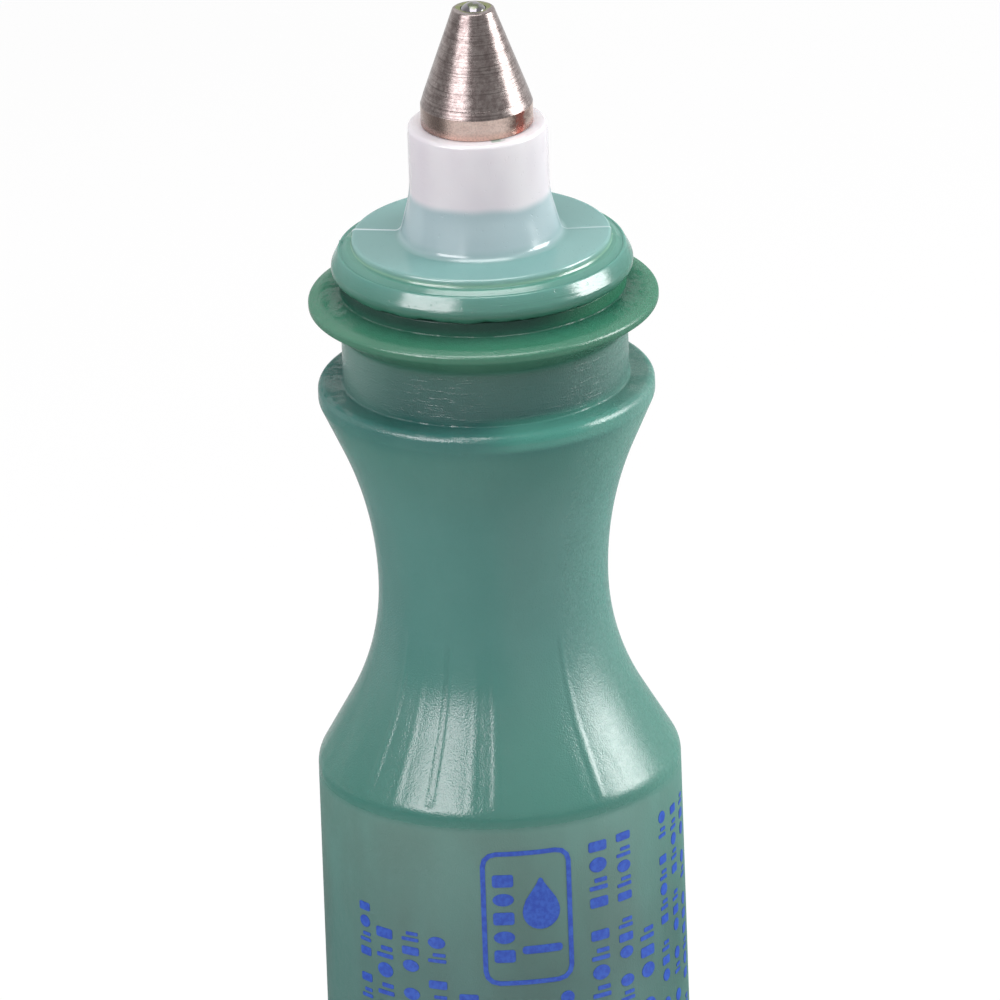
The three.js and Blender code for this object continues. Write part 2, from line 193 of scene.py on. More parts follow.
def start_piece(name: str) -> Piece:
    """Names the object that an operator has just added.

    Args:
        name: The piece's name.

    Returns:
        The object.
    """
    piece = bpy.context.object
    piece.name = name
    piece.data.name = name
    return piece


def select_only(*pieces: Piece) -> None:
    """Selects the given pieces and nothing else, and makes the first of them active.

    Args:
        *pieces: The pieces.
    """
    bpy.ops.object.select_all(action="DESELECT")
    for piece in pieces:
        piece.select_set(True)
    bpy.context.view_layer.objects.active = pieces[0]


def settle() -> None:
    """Puts the place, turn and scale of the selected piece into its mesh."""
    bpy.ops.object.transform_apply(location=True, rotation=True, scale=True)


def close_up(smooth_angle: float = 35.0) -> None:
    """Merges doubles, drops loose edges, turns faces outwards and smooths the piece being edited.

    Args:
        smooth_angle: Edges that turn less than this are smooth, in degrees.
    """
    bpy.ops.mesh.select_all(action="SELECT")
    bpy.ops.mesh.remove_doubles(threshold=MERGE_DISTANCE)
    bpy.ops.mesh.delete_loose(use_verts=True, use_edges=True, use_faces=False)
    bpy.ops.mesh.select_all(action="SELECT")
    bpy.ops.mesh.normals_make_consistent(inside=False)
    bpy.ops.object.mode_set(mode="OBJECT")
    bpy.ops.object.shade_smooth_by_angle(angle=math.radians(smooth_angle))


def spun(name: str, outline: list[Point], steps: int, closed: bool = True) -> Piece:
    """Spins an outline round the marker's axis.

    Args:
        name: The piece's name.
        outline: Radius and height of each point, in millimetres.
        steps: How many steps go round.
        closed: Whether the outline closes on itself.

    Returns:
        The piece.
    """
    bpy.ops.object.select_all(action="DESELECT")
    bpy.ops.mesh.primitive_plane_add(size=MM)
    piece = start_piece(name)
    bpy.ops.object.mode_set(mode="EDIT")
    bpy.ops.mesh.select_all(action="SELECT")
    bpy.ops.mesh.merge(type="CENTER")
    r0, z0 = outline[0]
    bpy.ops.transform.translate(value=(r0 * MM, 0, z0 * MM))
    path = outline + [outline[0]] if closed else outline
    for (r0, z0), (r1, z1) in zip(path, path[1:]):
        step = {"value": ((r1 - r0) * MM, 0, (z1 - z0) * MM)}
        bpy.ops.mesh.extrude_vertices_move(TRANSFORM_OT_translate=step)
    bpy.ops.mesh.select_all(action="SELECT")
    bpy.ops.mesh.spin(steps=steps, angle=math.tau, center=(0, 0, 0), axis=(0, 0, 1))
    close_up()
    return piece


def select_vertices(piece: Piece, wanted: Callable[[Vector], bool]) -> int:
    """Opens a piece for editing with only the wanted vertices selected.

    Args:
        piece: The piece.
        wanted: Says of a vertex's place, in metres, whether it is wanted.

    Returns:
        How many vertices are selected.
    """
    select_only(piece)
    bpy.ops.object.mode_set(mode="EDIT")
    bpy.ops.mesh.select_mode(type="VERT")
    bpy.ops.mesh.select_all(action="DESELECT")
    bpy.ops.object.mode_set(mode="OBJECT")
    count = 0
    for vertex in piece.data.vertices:
        if wanted(vertex.co):
            vertex.select = True
            count += 1
    bpy.ops.object.mode_set(mode="EDIT")
    return count


def raise_line(piece: Piece, azimuth: float, low: float, high: float, height: float) -> None:
    """Raises or sinks one upright line of a spun piece.

    Args:
        piece: The piece.
        azimuth: Where the line is, in degrees from the viewer, positive to the right.
        low: The line's lower end, in millimetres.
        high: The line's upper end, in millimetres.
        height: How far the line stands out, in millimetres; it is sunk if this is negative.
    """
    angle = math.radians(azimuth)
    spoke = Vector((math.sin(angle), -math.cos(angle)))
    half_width = 0.012

    def on_line(place: Vector) -> bool:
        """Whether a vertex lies on the line.

        Args:
            place: The vertex's place, in metres.

        Returns:
            Whether it is to be moved.
        """
        flat = Vector((place.x, place.y))
        if flat.length < MM or not low * MM <= place.z <= high * MM:
            return False
        return flat.normalized().dot(spoke) > math.cos(half_width)

    select_vertices(piece, on_line)
    bpy.ops.transform.shrink_fatten(value=height * MM)
    bpy.ops.object.mode_set(mode="OBJECT")


def displace(
    piece: Piece,
    inside: Callable[[Vector], float],
    grain: float,
    depth: float,
    direction: str = "NORMAL",
) -> None:
    """Moves part of a piece's surface in and out with soft noise.

    Args:
        piece: The piece.
        inside: The share of the movement at a place, from 0 to 1.
        grain: Size of the noise, in millimetres.
        depth: Whole depth of the noise, in millimetres.
        direction: The modifier's direction.
    """
    group = piece.vertex_groups.new(name="moved")
    for vertex in piece.data.vertices:
        share = inside(vertex.co)
        if share > 0:
            group.add([vertex.index], share, "REPLACE")
    noise = bpy.data.textures.new(f"{piece.name}_noise", "CLOUDS")
    noise.noise_scale = grain * MM
    noise.noise_depth = 2
    wave = piece.modifiers.new("wave", "DISPLACE")
    wave.texture = noise
    wave.texture_coords = "LOCAL"
    wave.vertex_group = group.name
    wave.direction = direction
    wave.strength = depth * MM
    wave.mid_level = 0.5
    select_only(piece)
    bpy.ops.object.modifier_apply(modifier=wave.name)
    piece.vertex_groups.clear()


@dataclass(frozen=True)
class Patch:
    """A soft-edged area of another tone.

    Azimuths are radians from the viewer, positive to the right, and heights are millimetres.
    """

    colour: Colour
    share: float
    azimuths: Span
    azimuth_edge: float
    heights: Span
    height_edge: float


class Palette:
    """Builds one node material: noise, ramps, bands and bumps that feed one shader."""

    FACING = (0.2, 0.75)

    def __init__(self, name: str) -> None:
        """Starts a material with a bare shader.

        Args:
            name: The material's name.
        """
        self.material = bpy.data.materials.new(name)
        self.material.use_nodes = True
        self.tree = self.material.node_tree
        self.tree.nodes.clear()
        self.output = self.tree.nodes.new("ShaderNodeOutputMaterial")
        self.shader = self.tree.nodes.new("ShaderNodeBsdfPrincipled")
        self.link(self.shader.outputs[0], self.output.inputs["Surface"])
        self.place = self.tree.nodes.new("ShaderNodeTexCoord").outputs["Object"]

    def link(self, source: Socket, target: Socket) -> None:
        """Joins two sockets."""
        self.tree.links.new(source, target)

    def set(self, **values: float | Triple) -> None:
        """Sets constant values on the shader, with underscores for the spaces of its socket names."""
        for key, value in values.items():
            self.shader.inputs[key.replace("_", " ")].default_value = value

    def mapped(self, scale: Triple) -> Socket:
        """Object coordinates in steps of a scale.

        Args:
            scale: How many pattern units a millimetre holds along X, Y and Z.

        Returns:
            The coordinates' socket.
        """
        node = self.tree.nodes.new("ShaderNodeMapping")
        node.inputs["Scale"].default_value = [part / MM for part in scale]
        self.link(self.place, node.inputs["Vector"])
        return node.outputs[0]

    def noise(self, scale: Triple, detail: float = 2.0, roughness: float = 0.5) -> Socket:
        """Soft noise on object coordinates.

        Args:
            scale: Pattern units to the millimetre along each axis.
            detail: Octaves of finer noise.
            roughness: How strong the finer noise is.

        Returns:
            The noise, about 0.5.
        """
        node = self.tree.nodes.new("ShaderNodeTexNoise")
        node.inputs["Scale"].default_value = 1.0
        node.inputs["Detail"].default_value = detail
        node.inputs["Roughness"].default_value = roughness
        self.link(self.mapped(scale), node.inputs["Vector"])
        return node.outputs["Fac"]

    def height(self) -> Socket:
        """The height above the foot, in millimetres.

        Returns:
            The height's socket.
        """
        split = self.tree.nodes.new("ShaderNodeSeparateXYZ")
        self.link(self.mapped((1.0, 1.0, 1.0)), split.inputs[0])
        return split.outputs["Z"]

    def radius(self) -> Socket:
        """The distance from the marker's axis, in millimetres.

        Returns:
            The distance's socket.
        """
        node = self.tree.nodes.new("ShaderNodeVectorMath")
        node.operation = "LENGTH"
        self.link(self.mapped((1.0, 1.0, 0.0)), node.inputs[0])
        return node.outputs["Value"]

    def azimuth(self) -> Socket:
        """The angle round the marker from the viewer, in radians, positive to the right.

        Returns:
            The angle's socket.
        """
        split = self.tree.nodes.new("ShaderNodeSeparateXYZ")
        self.link(self.mapped((1.0, 1.0, 1.0)), split.inputs[0])
        return self.math("ARCTAN2", split.outputs["X"], self.times(split.outputs["Y"], -1.0))

    def math(self, operation: str, *values: float | Socket) -> Socket:
        """One sum of numbers or sockets.

        Args:
            operation: The math node's operation.
            *values: Its inputs.

        Returns:
            The result's socket.
        """
        node = self.tree.nodes.new("ShaderNodeMath")
        node.operation = operation
        for socket, value in zip(node.inputs, values):
            if isinstance(value, Socket):
                self.link(value, socket)
            else:
                socket.default_value = value
        return node.outputs[0]

    def times(self, first: float | Socket, second: float | Socket) -> Socket:
        """The product of two values."""
        return self.math("MULTIPLY", first, second)

    def plus(self, first: float | Socket, second: float | Socket) -> Socket:
        """The sum of two values."""
        return self.math("ADD", first, second)

    def less(self, first: float | Socket, second: float | Socket) -> Socket:
        """The first value less the second."""
        return self.math("SUBTRACT", first, second)

    def larger(self, first: float | Socket, second: float | Socket) -> Socket:
        """The larger of two values."""
        return self.math("MAXIMUM", first, second)

    def between(self, value: Socket, low: float, high: float, to: Span = (0.0, 1.0)) -> Socket:
        """Maps a value smoothly from one range to another and holds it at the ends.

        Args:
            value: The value's socket.
            low: The value at which the result is the first of to.
            high: The value at which it is the second of to.
            to: The result's range.

        Returns:
            The result's socket.
        """
        node = self.tree.nodes.new("ShaderNodeMapRange")
        node.interpolation_type = "SMOOTHSTEP"
        self.link(value, node.inputs["Value"])
        numbers = {"From Min": low, "From Max": high, "To Min": to[0], "To Max": to[1]}
        for key, number in numbers.items():
            node.inputs[key].default_value = number
        return node.outputs[0]

    def band(self, value: Socket, low: float, high: float, edge: float) -> Socket:
        """1 between two values and 0 outside them, with soft edges.

        Args:
            value: The value's socket.
            low: Where the band begins.
            high: Where it ends.
            edge: Width of each soft edge.

        Returns:
            The band's socket.
        """
        rise = self.between(value, low - edge / 2, low + edge / 2)
        fall = self.between(value, high - edge / 2, high + edge / 2, (1.0, 0.0))
        return self.times(rise, fall)

    def ramp(self, value: Socket, stops: list[tuple[float, Colour]]) -> Socket:
        """A colour that changes with a value.

        Args:
            value: The value's socket.
            stops: Values and the colours there, in rising order.

        Returns:
            The colour's socket.
        """
        low, high = stops[0][0], stops[-1][0]
        scaled = self.tree.nodes.new("ShaderNodeMapRange")
        scaled.inputs["From Min"].default_value = low
        scaled.inputs["From Max"].default_value = high
        self.link(value, scaled.inputs["Value"])
        node = self.tree.nodes.new("ShaderNodeValToRGB")
        elements = node.color_ramp.elements
        for i, (at, colour) in enumerate(stops):
            share = (at - low) / (high - low)
            element = elements[i] if i < 2 else elements.new(share)
            element.position = share
            element.color = linear(colour)
        self.link(scaled.outputs[0], node.inputs[0])
        return node.outputs[0]

    def mix(
        self,
        share: float | Socket,
        first: Colour | Socket,
        second: Colour | Socket,
        blend: str = "MIX",
    ) -> Socket:
        """Mixes two colours.

        Args:
            share: The share of the second.
            first: The first colour or its socket.
            second: The second colour or its socket.
            blend: How the second goes over the first.

        Returns:
            The mixed colour's socket.
        """
        node = self.tree.nodes.new("ShaderNodeMix")
        node.data_type = "RGBA"
        node.blend_type = blend
        colour_sockets = [s for s in node.inputs if s.type == "RGBA"]
        if isinstance(share, Socket):
            self.link(share, node.inputs[0])
        else:
            node.inputs[0].default_value = share
        for socket, value in zip(colour_sockets, (first, second)):
            if isinstance(value, Socket):
                self.link(value, socket)
            else:
                socket.default_value = linear(value)
        return next(s for s in node.outputs if s.type == "RGBA")

    def patch(self, tone: Socket, patch: Patch) -> Socket:
        """Lays a soft-edged area of another tone over a colour.

        Args:
            tone: The colour's socket.
            patch: The area.

        Returns:
            The changed colour's socket.
        """
        across = self.band(self.azimuth(), *patch.azimuths, patch.azimuth_edge)
        upright = self.band(self.height(), *patch.heights, patch.height_edge)
        return self.mix(self.times(self.times(across, upright), patch.share), tone, patch.colour)

    def tame_edges(self, face: float, edge: float, share: float | Socket = 1.0) -> None:
        """Makes the gloss weaker where the surface turns away.

        Args:
            face: The refractive index where the surface faces the viewer.
            edge: The index where it is seen edge on.
            share: The specular level everywhere.
        """
        weight = self.tree.nodes.new("ShaderNodeLayerWeight")
        weight.inputs["Blend"].default_value = 0.5
        index = self.between(weight.outputs["Facing"], *self.FACING, (face, edge))
        self.link(index, self.shader.inputs["IOR"])
        self.shader.inputs["IOR"].default_value = face
        if isinstance(share, Socket):
            self.link(share, self.shader.inputs["Specular IOR Level"])
        else:
            self.shader.inputs["Specular IOR Level"].default_value = share

    def bump(self, layers: list[tuple[Socket, float]]) -> None:
        """Gives the shader its fine relief.

        Args:
            layers: Heights as shares of a depth, and that depth in millimetres.
        """
        normal = None
        for source, depth in layers:
            node = self.tree.nodes.new("ShaderNodeBump")
            node.inputs["Strength"].default_value = 1.0
            node.inputs["Distance"].default_value = depth * MM
            self.link(source, node.inputs["Height"])
            if normal is not None:
                self.link(normal, node.inputs["Normal"])
            normal = node.outputs[0]
        self.link(normal, self.shader.inputs["Normal"])


@dataclass(frozen=True)
class BottlePlastic:
    """Blow-moulded polyethylene over green paint: glossy above the body, duller on the body.

    Heights are millimetres, and azimuths are radians from the viewer, positive to the right.
    """

    gloss_edge: float = 92.1
    neck_foot: float = 128.64
    groove: Span = (121.8, 125.7)
    scuffed: Span = (121.9, 125.8)
    bead_edge: Span = (121.55, 122.1)
    collar_edge: Span = (128.3, 128.9)
    right_side: Span = (0.56, 2.4)
    lit_side: Span = (0.9, 2.2)
    lit_heights: Span = (92.0, 122.0)
    rubbed_side: Span = (0.02, 0.62)
    rubbed_heights: Span = (121.0, 122.1)
    dim_side: Span = (-0.9, 0.1)
    dim_rise: Span = (99.4, 101.8)
    dim_fall: Span = (112.0, 118.0)

    TONES: ClassVar[list[tuple[float, Colour]]] = [
        (0.0, (76, 114, 106)),
        (80.0, (70, 106, 104)),
        (91.9, (102, 145, 136)),
        (92.3, (58, 124, 111)),
        (98.0, (64, 126, 115)),
        (104.0, (82, 135, 128)),
        (113.0, (84, 135, 128)),
        (119.4, (72, 128, 118)),
        (120.9, (52, 114, 107)),
        (121.8, (52, 112, 106)),
        (122.4, (56, 100, 96)),
        (125.3, (62, 104, 96)),
        (126.2, (52, 100, 78)),
        (127.3, (58, 106, 82)),
        (127.5, (64, 120, 95)),
        (128.2, (56, 126, 96)),
        (128.52, (50, 124, 94)),
        # Painted shade: from the collar's top up, the neck's land in the recess under the plug's flange is
        # darkened.
        (128.66, (34, 98, 76)),
        (128.9, (14, 64, 50)),
        (129.7, (12, 52, 42)),
    ]
    # Painted light on the bead's top at its right front.
    PAINTED_BEAD_LIGHT: ClassVar[Patch] = Patch((92, 160, 144), 0.6, (0.05, 0.95), 0.4, (120.5, 122.2), 0.6)
    # Painted light on the right side of the neck's recess above the collar.
    PAINTED_NECK_LIGHT: ClassVar[Patch] = Patch((62, 136, 102), 0.6, (0.6, 2.0), 0.7, (128.74, 140.0), 0.2)

    def tone(self, p: Palette) -> Socket:
        """The plastic's colour, with the paint's clouds behind it, painted shade in the neck's recess, and
        painted light on the groove's sides, the right side, the bead and the neck.

        Args:
            p: The material that is being made.

        Returns:
            The colour's socket.
        """
        height, around = p.height(), p.azimuth()
        base = p.ramp(height, self.TONES)
        clouds = p.between(p.noise((0.09, 0.09, 0.05), 3.0), 0.3, 0.7)
        base = p.mix(0.16, base, p.mix(clouds, (60, 108, 100), (116, 152, 142)))
        murk = p.between(p.noise((0.16, 0.16, 0.07), 3.0), 0.35, 0.7)
        on_body = p.between(height, self.gloss_edge - 0.6, self.gloss_edge + 0.2, (0.3, 0.0))
        tone = p.mix(on_body, base, p.mix(murk, (84, 112, 98), (98, 150, 138)))
        # Painted sheen: the groove is lightened towards its left and right sides.
        sides = p.between(p.math("ABSOLUTE", around), 0.5, 1.3, (0.0, 0.4))
        tone = p.mix(p.times(sides, p.band(height, *self.groove, 0.5)), tone, (136, 172, 162))
        # Painted light: the right side, where the right lamp falls, is lightened from the body's top to the
        # bead, most on the grip.
        lit = p.times(p.band(around, *self.lit_side, 0.8), p.band(height, *self.lit_heights, 1.0))
        tone = p.mix(p.times(lit, p.between(height, 114.0, 120.0, (0.16, 0.4))), tone, (142, 190, 176))
        return p.patch(p.patch(tone, self.PAINTED_BEAD_LIGHT), self.PAINTED_NECK_LIGHT)

    def dullness(self, p: Palette) -> Socket:
        """The roughness: a satin body, a glossy flare and a softer right side.

        Args:
            p: The material that is being made.

        Returns:
            The roughness's socket.
        """
        dull = p.between(p.height(), self.gloss_edge - 0.2, self.gloss_edge + 0.2, (0.42, 0.16))
        dull = p.plus(dull, p.times(p.band(p.azimuth(), *self.right_side, 0.3), 0.11))
        return p.plus(dull, p.between(p.noise((2.2, 2.2, 1.6), 2.0, 0.6), 0.3, 0.8, (-0.03, 0.05)))

    def gloss(self, p: Palette) -> Socket:
        """The specular level: broken on worn edges, weaker at the flare's left and above the neck.

        Args:
            p: The material that is being made.

        Returns:
            The level's socket.
        """
        height, around = p.height(), p.azimuth()
        edges = p.larger(p.band(height, *self.bead_edge, 0.1), p.band(height, *self.collar_edge, 0.1))
        broken = p.between(p.noise((0.55, 0.55, 0.3), 4.0, 0.75), 0.44, 0.56, (0.9, 0.0))
        rubbed = p.times(p.band(around, *self.rubbed_side, 0.16), p.band(height, *self.rubbed_heights, 0.1))
        worn = p.larger(p.times(edges, broken), p.times(rubbed, 0.85))
        dim = p.times(p.band(around, *self.dim_side, 0.3), p.between(height, *self.dim_rise, (0.0, 0.72)))
        dim = p.times(dim, p.between(height, *self.dim_fall, (1.0, 0.0)))
        kept = p.times(p.less(1.0, worn), p.less(1.0, dim))
        return p.times(kept, p.between(height, self.neck_foot, self.neck_foot + 0.15, (1.0, 0.3)))

    def relief(self, p: Palette) -> None:
        """Adds soft waves, orange peel and crinkles, and the groove's scuffs.

        Args:
            p: The material that is being made.
        """
        height = p.height()
        waves = p.noise((0.5, 0.5, 0.16))
        peel = p.noise((2.2, 2.2, 1.8))
        crinkle = p.noise((9.0, 9.0, 8.0), 1.0)
        crinkle = p.times(crinkle, p.between(height, self.gloss_edge, 100.0, (0.55, 1.0)))
        scuffs = p.between(p.noise((0.5, 0.5, 5.0), 3.0, 0.65), 0.5, 0.68)
        scuffs = p.times(scuffs, p.band(height, *self.scuffed, 0.4))
        p.bump([(waves, 0.05), (peel, 0.011), (crinkle, 0.03), (scuffs, 0.014)])

    def make(self) -> bpy.types.Material:
        """Builds the material.

        Returns:
            The material.
        """
        p = Palette("bottle_plastic")
        p.link(self.tone(p), p.shader.inputs["Base Color"])
        p.link(self.dullness(p), p.shader.inputs["Roughness"])
        self.relief(p)
        p.tame_edges(1.51, 1.08, self.gloss(p))
        p.set(Subsurface_Weight=0.25, Subsurface_Scale=1.2 * MM, Subsurface_Radius=(0.6, 1.0, 0.85))
        return p.material


@dataclass(frozen=True)
class PlugPlastic:
    """Natural moulding, milky where it is empty and green where paint stands behind it."""

    disc_top: float = 132.59
    stem_top: float = 141.04
    paint_rise: float = 3.2
    parting_highlight_height: float = 2.6
    parting_highlight_colour: Colour = (214, 230, 234)
    smear_side: Span = (0.2, 0.44)
    smear_radius: Span = (4.28, 4.4)

    TONES: ClassVar[list[tuple[float, Colour]]] = [
        (129.7, (52, 104, 86)),
        (130.2, (62, 116, 98)),
        (130.8, (72, 130, 116)),
        (131.6, (84, 142, 130)),
        (132.0, (92, 150, 134)),
        (132.12, (128, 178, 154)),
        (132.25, (118, 166, 154)),
        (132.58, (124, 167, 163)),
        (132.8, (156, 186, 188)),
        (133.4, (172, 194, 199)),
    ]

    def tone(self, p: Palette, fine: Socket) -> Socket:
        """The moulding's colour: green below the paint's level, milky above it, and painted highlights
        along the parting lines.

        Args:
            p: The material that is being made.
            fine: Fine noise that frays the smear's edge.

        Returns:
            The colour's socket.
        """
        height = p.height()
        wander = p.between(p.noise((0.16, 0.16, 0.02)), 0.25, 0.75, (-0.2, 0.2))
        level = self.disc_top + self.paint_rise
        above = p.between(p.plus(height, wander), level - 0.2, level + 0.5)
        milk = p.mix(p.between(p.noise((0.2, 0.2, 0.1)), 0.3, 0.7), (220, 216, 222), (232, 230, 233))
        tone = p.mix(above, p.ramp(height, self.TONES), milk)
        ragged = p.plus(p.azimuth(), p.between(fine, 0.3, 0.7, (-0.04, 0.04)))
        smear = p.between(p.radius(), *self.smear_radius, (1.0, 0.0))
        smear = p.times(p.band(ragged, *self.smear_side, 0.06), smear)
        smear = p.times(smear, p.between(height, self.stem_top - 0.2, self.stem_top - 0.1))
        tone = p.mix(p.times(smear, 0.7), tone, (112, 152, 132))
        # Painted highlights: pale lines along the raised parting lines, stronger on the left.
        heights = (self.disc_top - 0.1, self.disc_top + self.parting_highlight_height)
        for azimuths, share in (((-1.75, -1.72), 0.8), ((1.592, 1.616), 0.35)):
            tone = p.patch(tone, Patch(self.parting_highlight_colour, share, azimuths, 0.014, heights, 0.1))
        return tone

    def make(self) -> bpy.types.Material:
        """Builds the material.

        Returns:
            The material.
        """
        p = Palette("plug_plastic")
        fine = p.noise((1.4, 1.4, 1.4), 2.0, 0.6)
        p.link(self.tone(p, fine), p.shader.inputs["Base Color"])
        p.link(p.between(fine, 0.3, 0.7, (0.13, 0.22)), p.shader.inputs["Roughness"])
        below_disc = p.between(p.height(), self.disc_top - 0.3, self.disc_top, (1.0, 0.0))
        streaks = p.times(p.noise((0.35, 0.35, 5.0), 3.0, 0.6), below_disc)
        pits = p.between(p.noise((3.2, 3.2, 3.2), 1.0), 0.68, 0.74, (1.0, 0.0))
        p.bump([(p.noise((0.25, 0.25, 0.12), 1.0), 0.02), (streaks, 0.03), (pits, 0.008), (fine, 0.002)])
        p.tame_edges(1.6, 1.12)
        p.set(Subsurface_Weight=0.5, Subsurface_Scale=1.4 * MM, Subsurface_Radius=(0.9, 1.0, 1.0))
        return p.material


@dataclass(frozen=True)
class TurnedSteel:
    """Bright turned steel with fine rings, a warm cast and a painted red reflection on the band, and paint
    in its mouth.
    """

    band_foot: float = 141.04
    band_top: float = 142.59
    nose: float = 149.69
    reflected_red: Colour = (166, 76, 62)
    paint: Colour = (112, 122, 52)

    def turned(self, p: Palette, mottle: Socket) -> Socket:
        """The bare steel with its darker turning lines.

        Args:
            p: The material that is being made.
            mottle: Noise that mottles the steel.

        Returns:
            The colour's socket.
        """
        steel = p.mix(p.between(mottle, 0.35, 0.65), (136, 124, 122), (166, 156, 153))
        lines = p.between(p.noise((0.1, 0.1, 9.0), 2.0, 0.7), 0.46, 0.66)
        return p.mix(p.times(lines, 0.5), steel, (84, 75, 73))

    def band(self, p: Palette, blots: Socket) -> Socket:
        """The band's warm tone, redder at its foot, with painted shade at the left.

        Args:
            p: The material that is being made.
            blots: Where the band is stained.

        Returns:
            The colour's socket.
        """
        low = p.between(p.height(), self.band_foot + 0.7, self.band_foot + 0.15)
        tone = p.mix(low, (224, 202, 190), (222, 182, 166))
        tone = p.mix(p.times(blots, 0.3), tone, (190, 160, 148))
        # Painted shade on the band's left side.
        return p.mix(p.times(p.band(p.azimuth(), -1.5, -0.62, 0.4), 0.6), tone, (118, 102, 98))

    def wet_mouth(self, p: Palette) -> Socket:
        """The share of paint on the nose round the ball.

        Args:
            p: The material that is being made.

        Returns:
            The share's socket.
        """
        film = p.between(p.noise((2.6, 2.6, 2.6), 3.0), 0.34, 0.56)
        reach = p.between(p.math("ABSOLUTE", p.azimuth()), 1.1, 2.0, (1.05, 1.36))
        mouth = p.between(p.less(p.radius(), reach), -0.05, 0.05, (1.0, 0.0))
        mouth = p.times(mouth, p.between(p.height(), self.nose - 1.2, self.nose - 0.9))
        return p.times(mouth, p.plus(p.times(film, 0.5), 0.5))

    def make(self) -> bpy.types.Material:
        """Builds the material.

        Returns:
            The material.
        """
        p = Palette("turned_steel")
        around = p.azimuth()
        mottle = p.noise((2.2, 2.2, 2.2), 4.0, 0.7)
        blots = p.between(p.noise((1.6, 1.6, 2.4), 3.0, 0.6), 0.42, 0.62)
        warm = p.band(p.height(), self.band_foot, self.band_top, 0.1)
        tone = p.mix(p.times(warm, 0.85), self.turned(p, mottle), self.band(p, blots))
        dark = p.times(p.band(around, 0.55, 1.3, 0.3), p.between(blots, 0.0, 1.0, (0.25, 0.6)))
        tone = p.mix(p.times(warm, dark), tone, (120, 96, 90))
        ragged = p.plus(around, p.between(mottle, 0.3, 0.7, (-0.05, 0.05)))
        # Painted reflection: a red patch on the band's right.
        red_reflection = p.times(p.times(p.band(ragged, 0.76, 0.99, 0.14), warm), 0.75)
        tone = p.mix(red_reflection, tone, self.reflected_red)
        wet = self.wet_mouth(p)
        p.link(p.mix(wet, tone, self.paint), p.shader.inputs["Base Color"])
        bright = p.times(warm, p.band(around, -0.56, 0.6, 0.3))
        not_metal = p.plus(p.times(wet, 0.8), p.times(bright, 0.85))
        p.link(p.less(1.0, not_metal), p.shader.inputs["Metallic"])
        rings = p.noise((0.1, 0.1, 6.6), 2.0, 0.6)
        strokes = p.noise((0.9, 0.9, 8.0), 2.0, 0.6)
        specks = p.noise((6.0, 6.0, 7.0), 1.0, 0.5)
        p.link(p.between(specks, 0.25, 0.75, (0.22, 0.34)), p.shader.inputs["Roughness"])
        p.bump([(rings, 0.009), (strokes, 0.005), (specks, 0.0015)])
        return p.material


@dataclass(frozen=True)
class PolishedSteel:
    """A bearing ball's steel, with a thin smear of paint."""

    name: str = "ball_steel"
    smear: float = 0.6
    metal: Colour = (150, 146, 152)
    paint: Colour = (96, 112, 48)

    def make(self) -> bpy.types.Material:
        """Builds the material.

        Returns:
            The material.
        """
        p = Palette(self.name)
        film = p.between(p.noise((1.3, 1.3, 1.3), 3.0), 0.45, 0.62)
        p.link(p.mix(p.times(film, self.smear), self.metal, self.paint), p.shader.inputs["Base Color"])
        p.link(p.between(film, 0.0, 1.0, (0.08, 0.3)), p.shader.inputs["Roughness"])
        p.bump([(film, 0.004)])
        p.set(Metallic=0.95)
        return p.material


@dataclass(frozen=True)
class PlainFinish:
    """A finish of one tone with a fine mottle and grain, for the inner pieces."""

    name: str
    light: Colour
    dark: Colour
    roughness: float
    metallic: float
    grain: float

    def make(self) -> bpy.types.Material:
        """Builds the material.

        Returns:
            The material.
        """
        p = Palette(self.name)
        mottle = p.noise((self.grain, self.grain, self.grain), 3.0, 0.6)
        p.link(p.mix(p.between(mottle, 0.3, 0.7), self.dark, self.light), p.shader.inputs["Base Color"])
        rough = p.between(mottle, 0.3, 0.7, (self.roughness - 0.05, self.roughness + 0.08))
        p.link(rough, p.shader.inputs["Roughness"])
        p.bump([(mottle, 0.008)])
        p.set(Metallic=self.metallic)
        return p.material


def dress(piece: Piece, material: bpy.types.Material) -> None:
    """Gives a piece or a node one material."""
    piece.data.materials.clear()
    piece.data.materials.append(material)


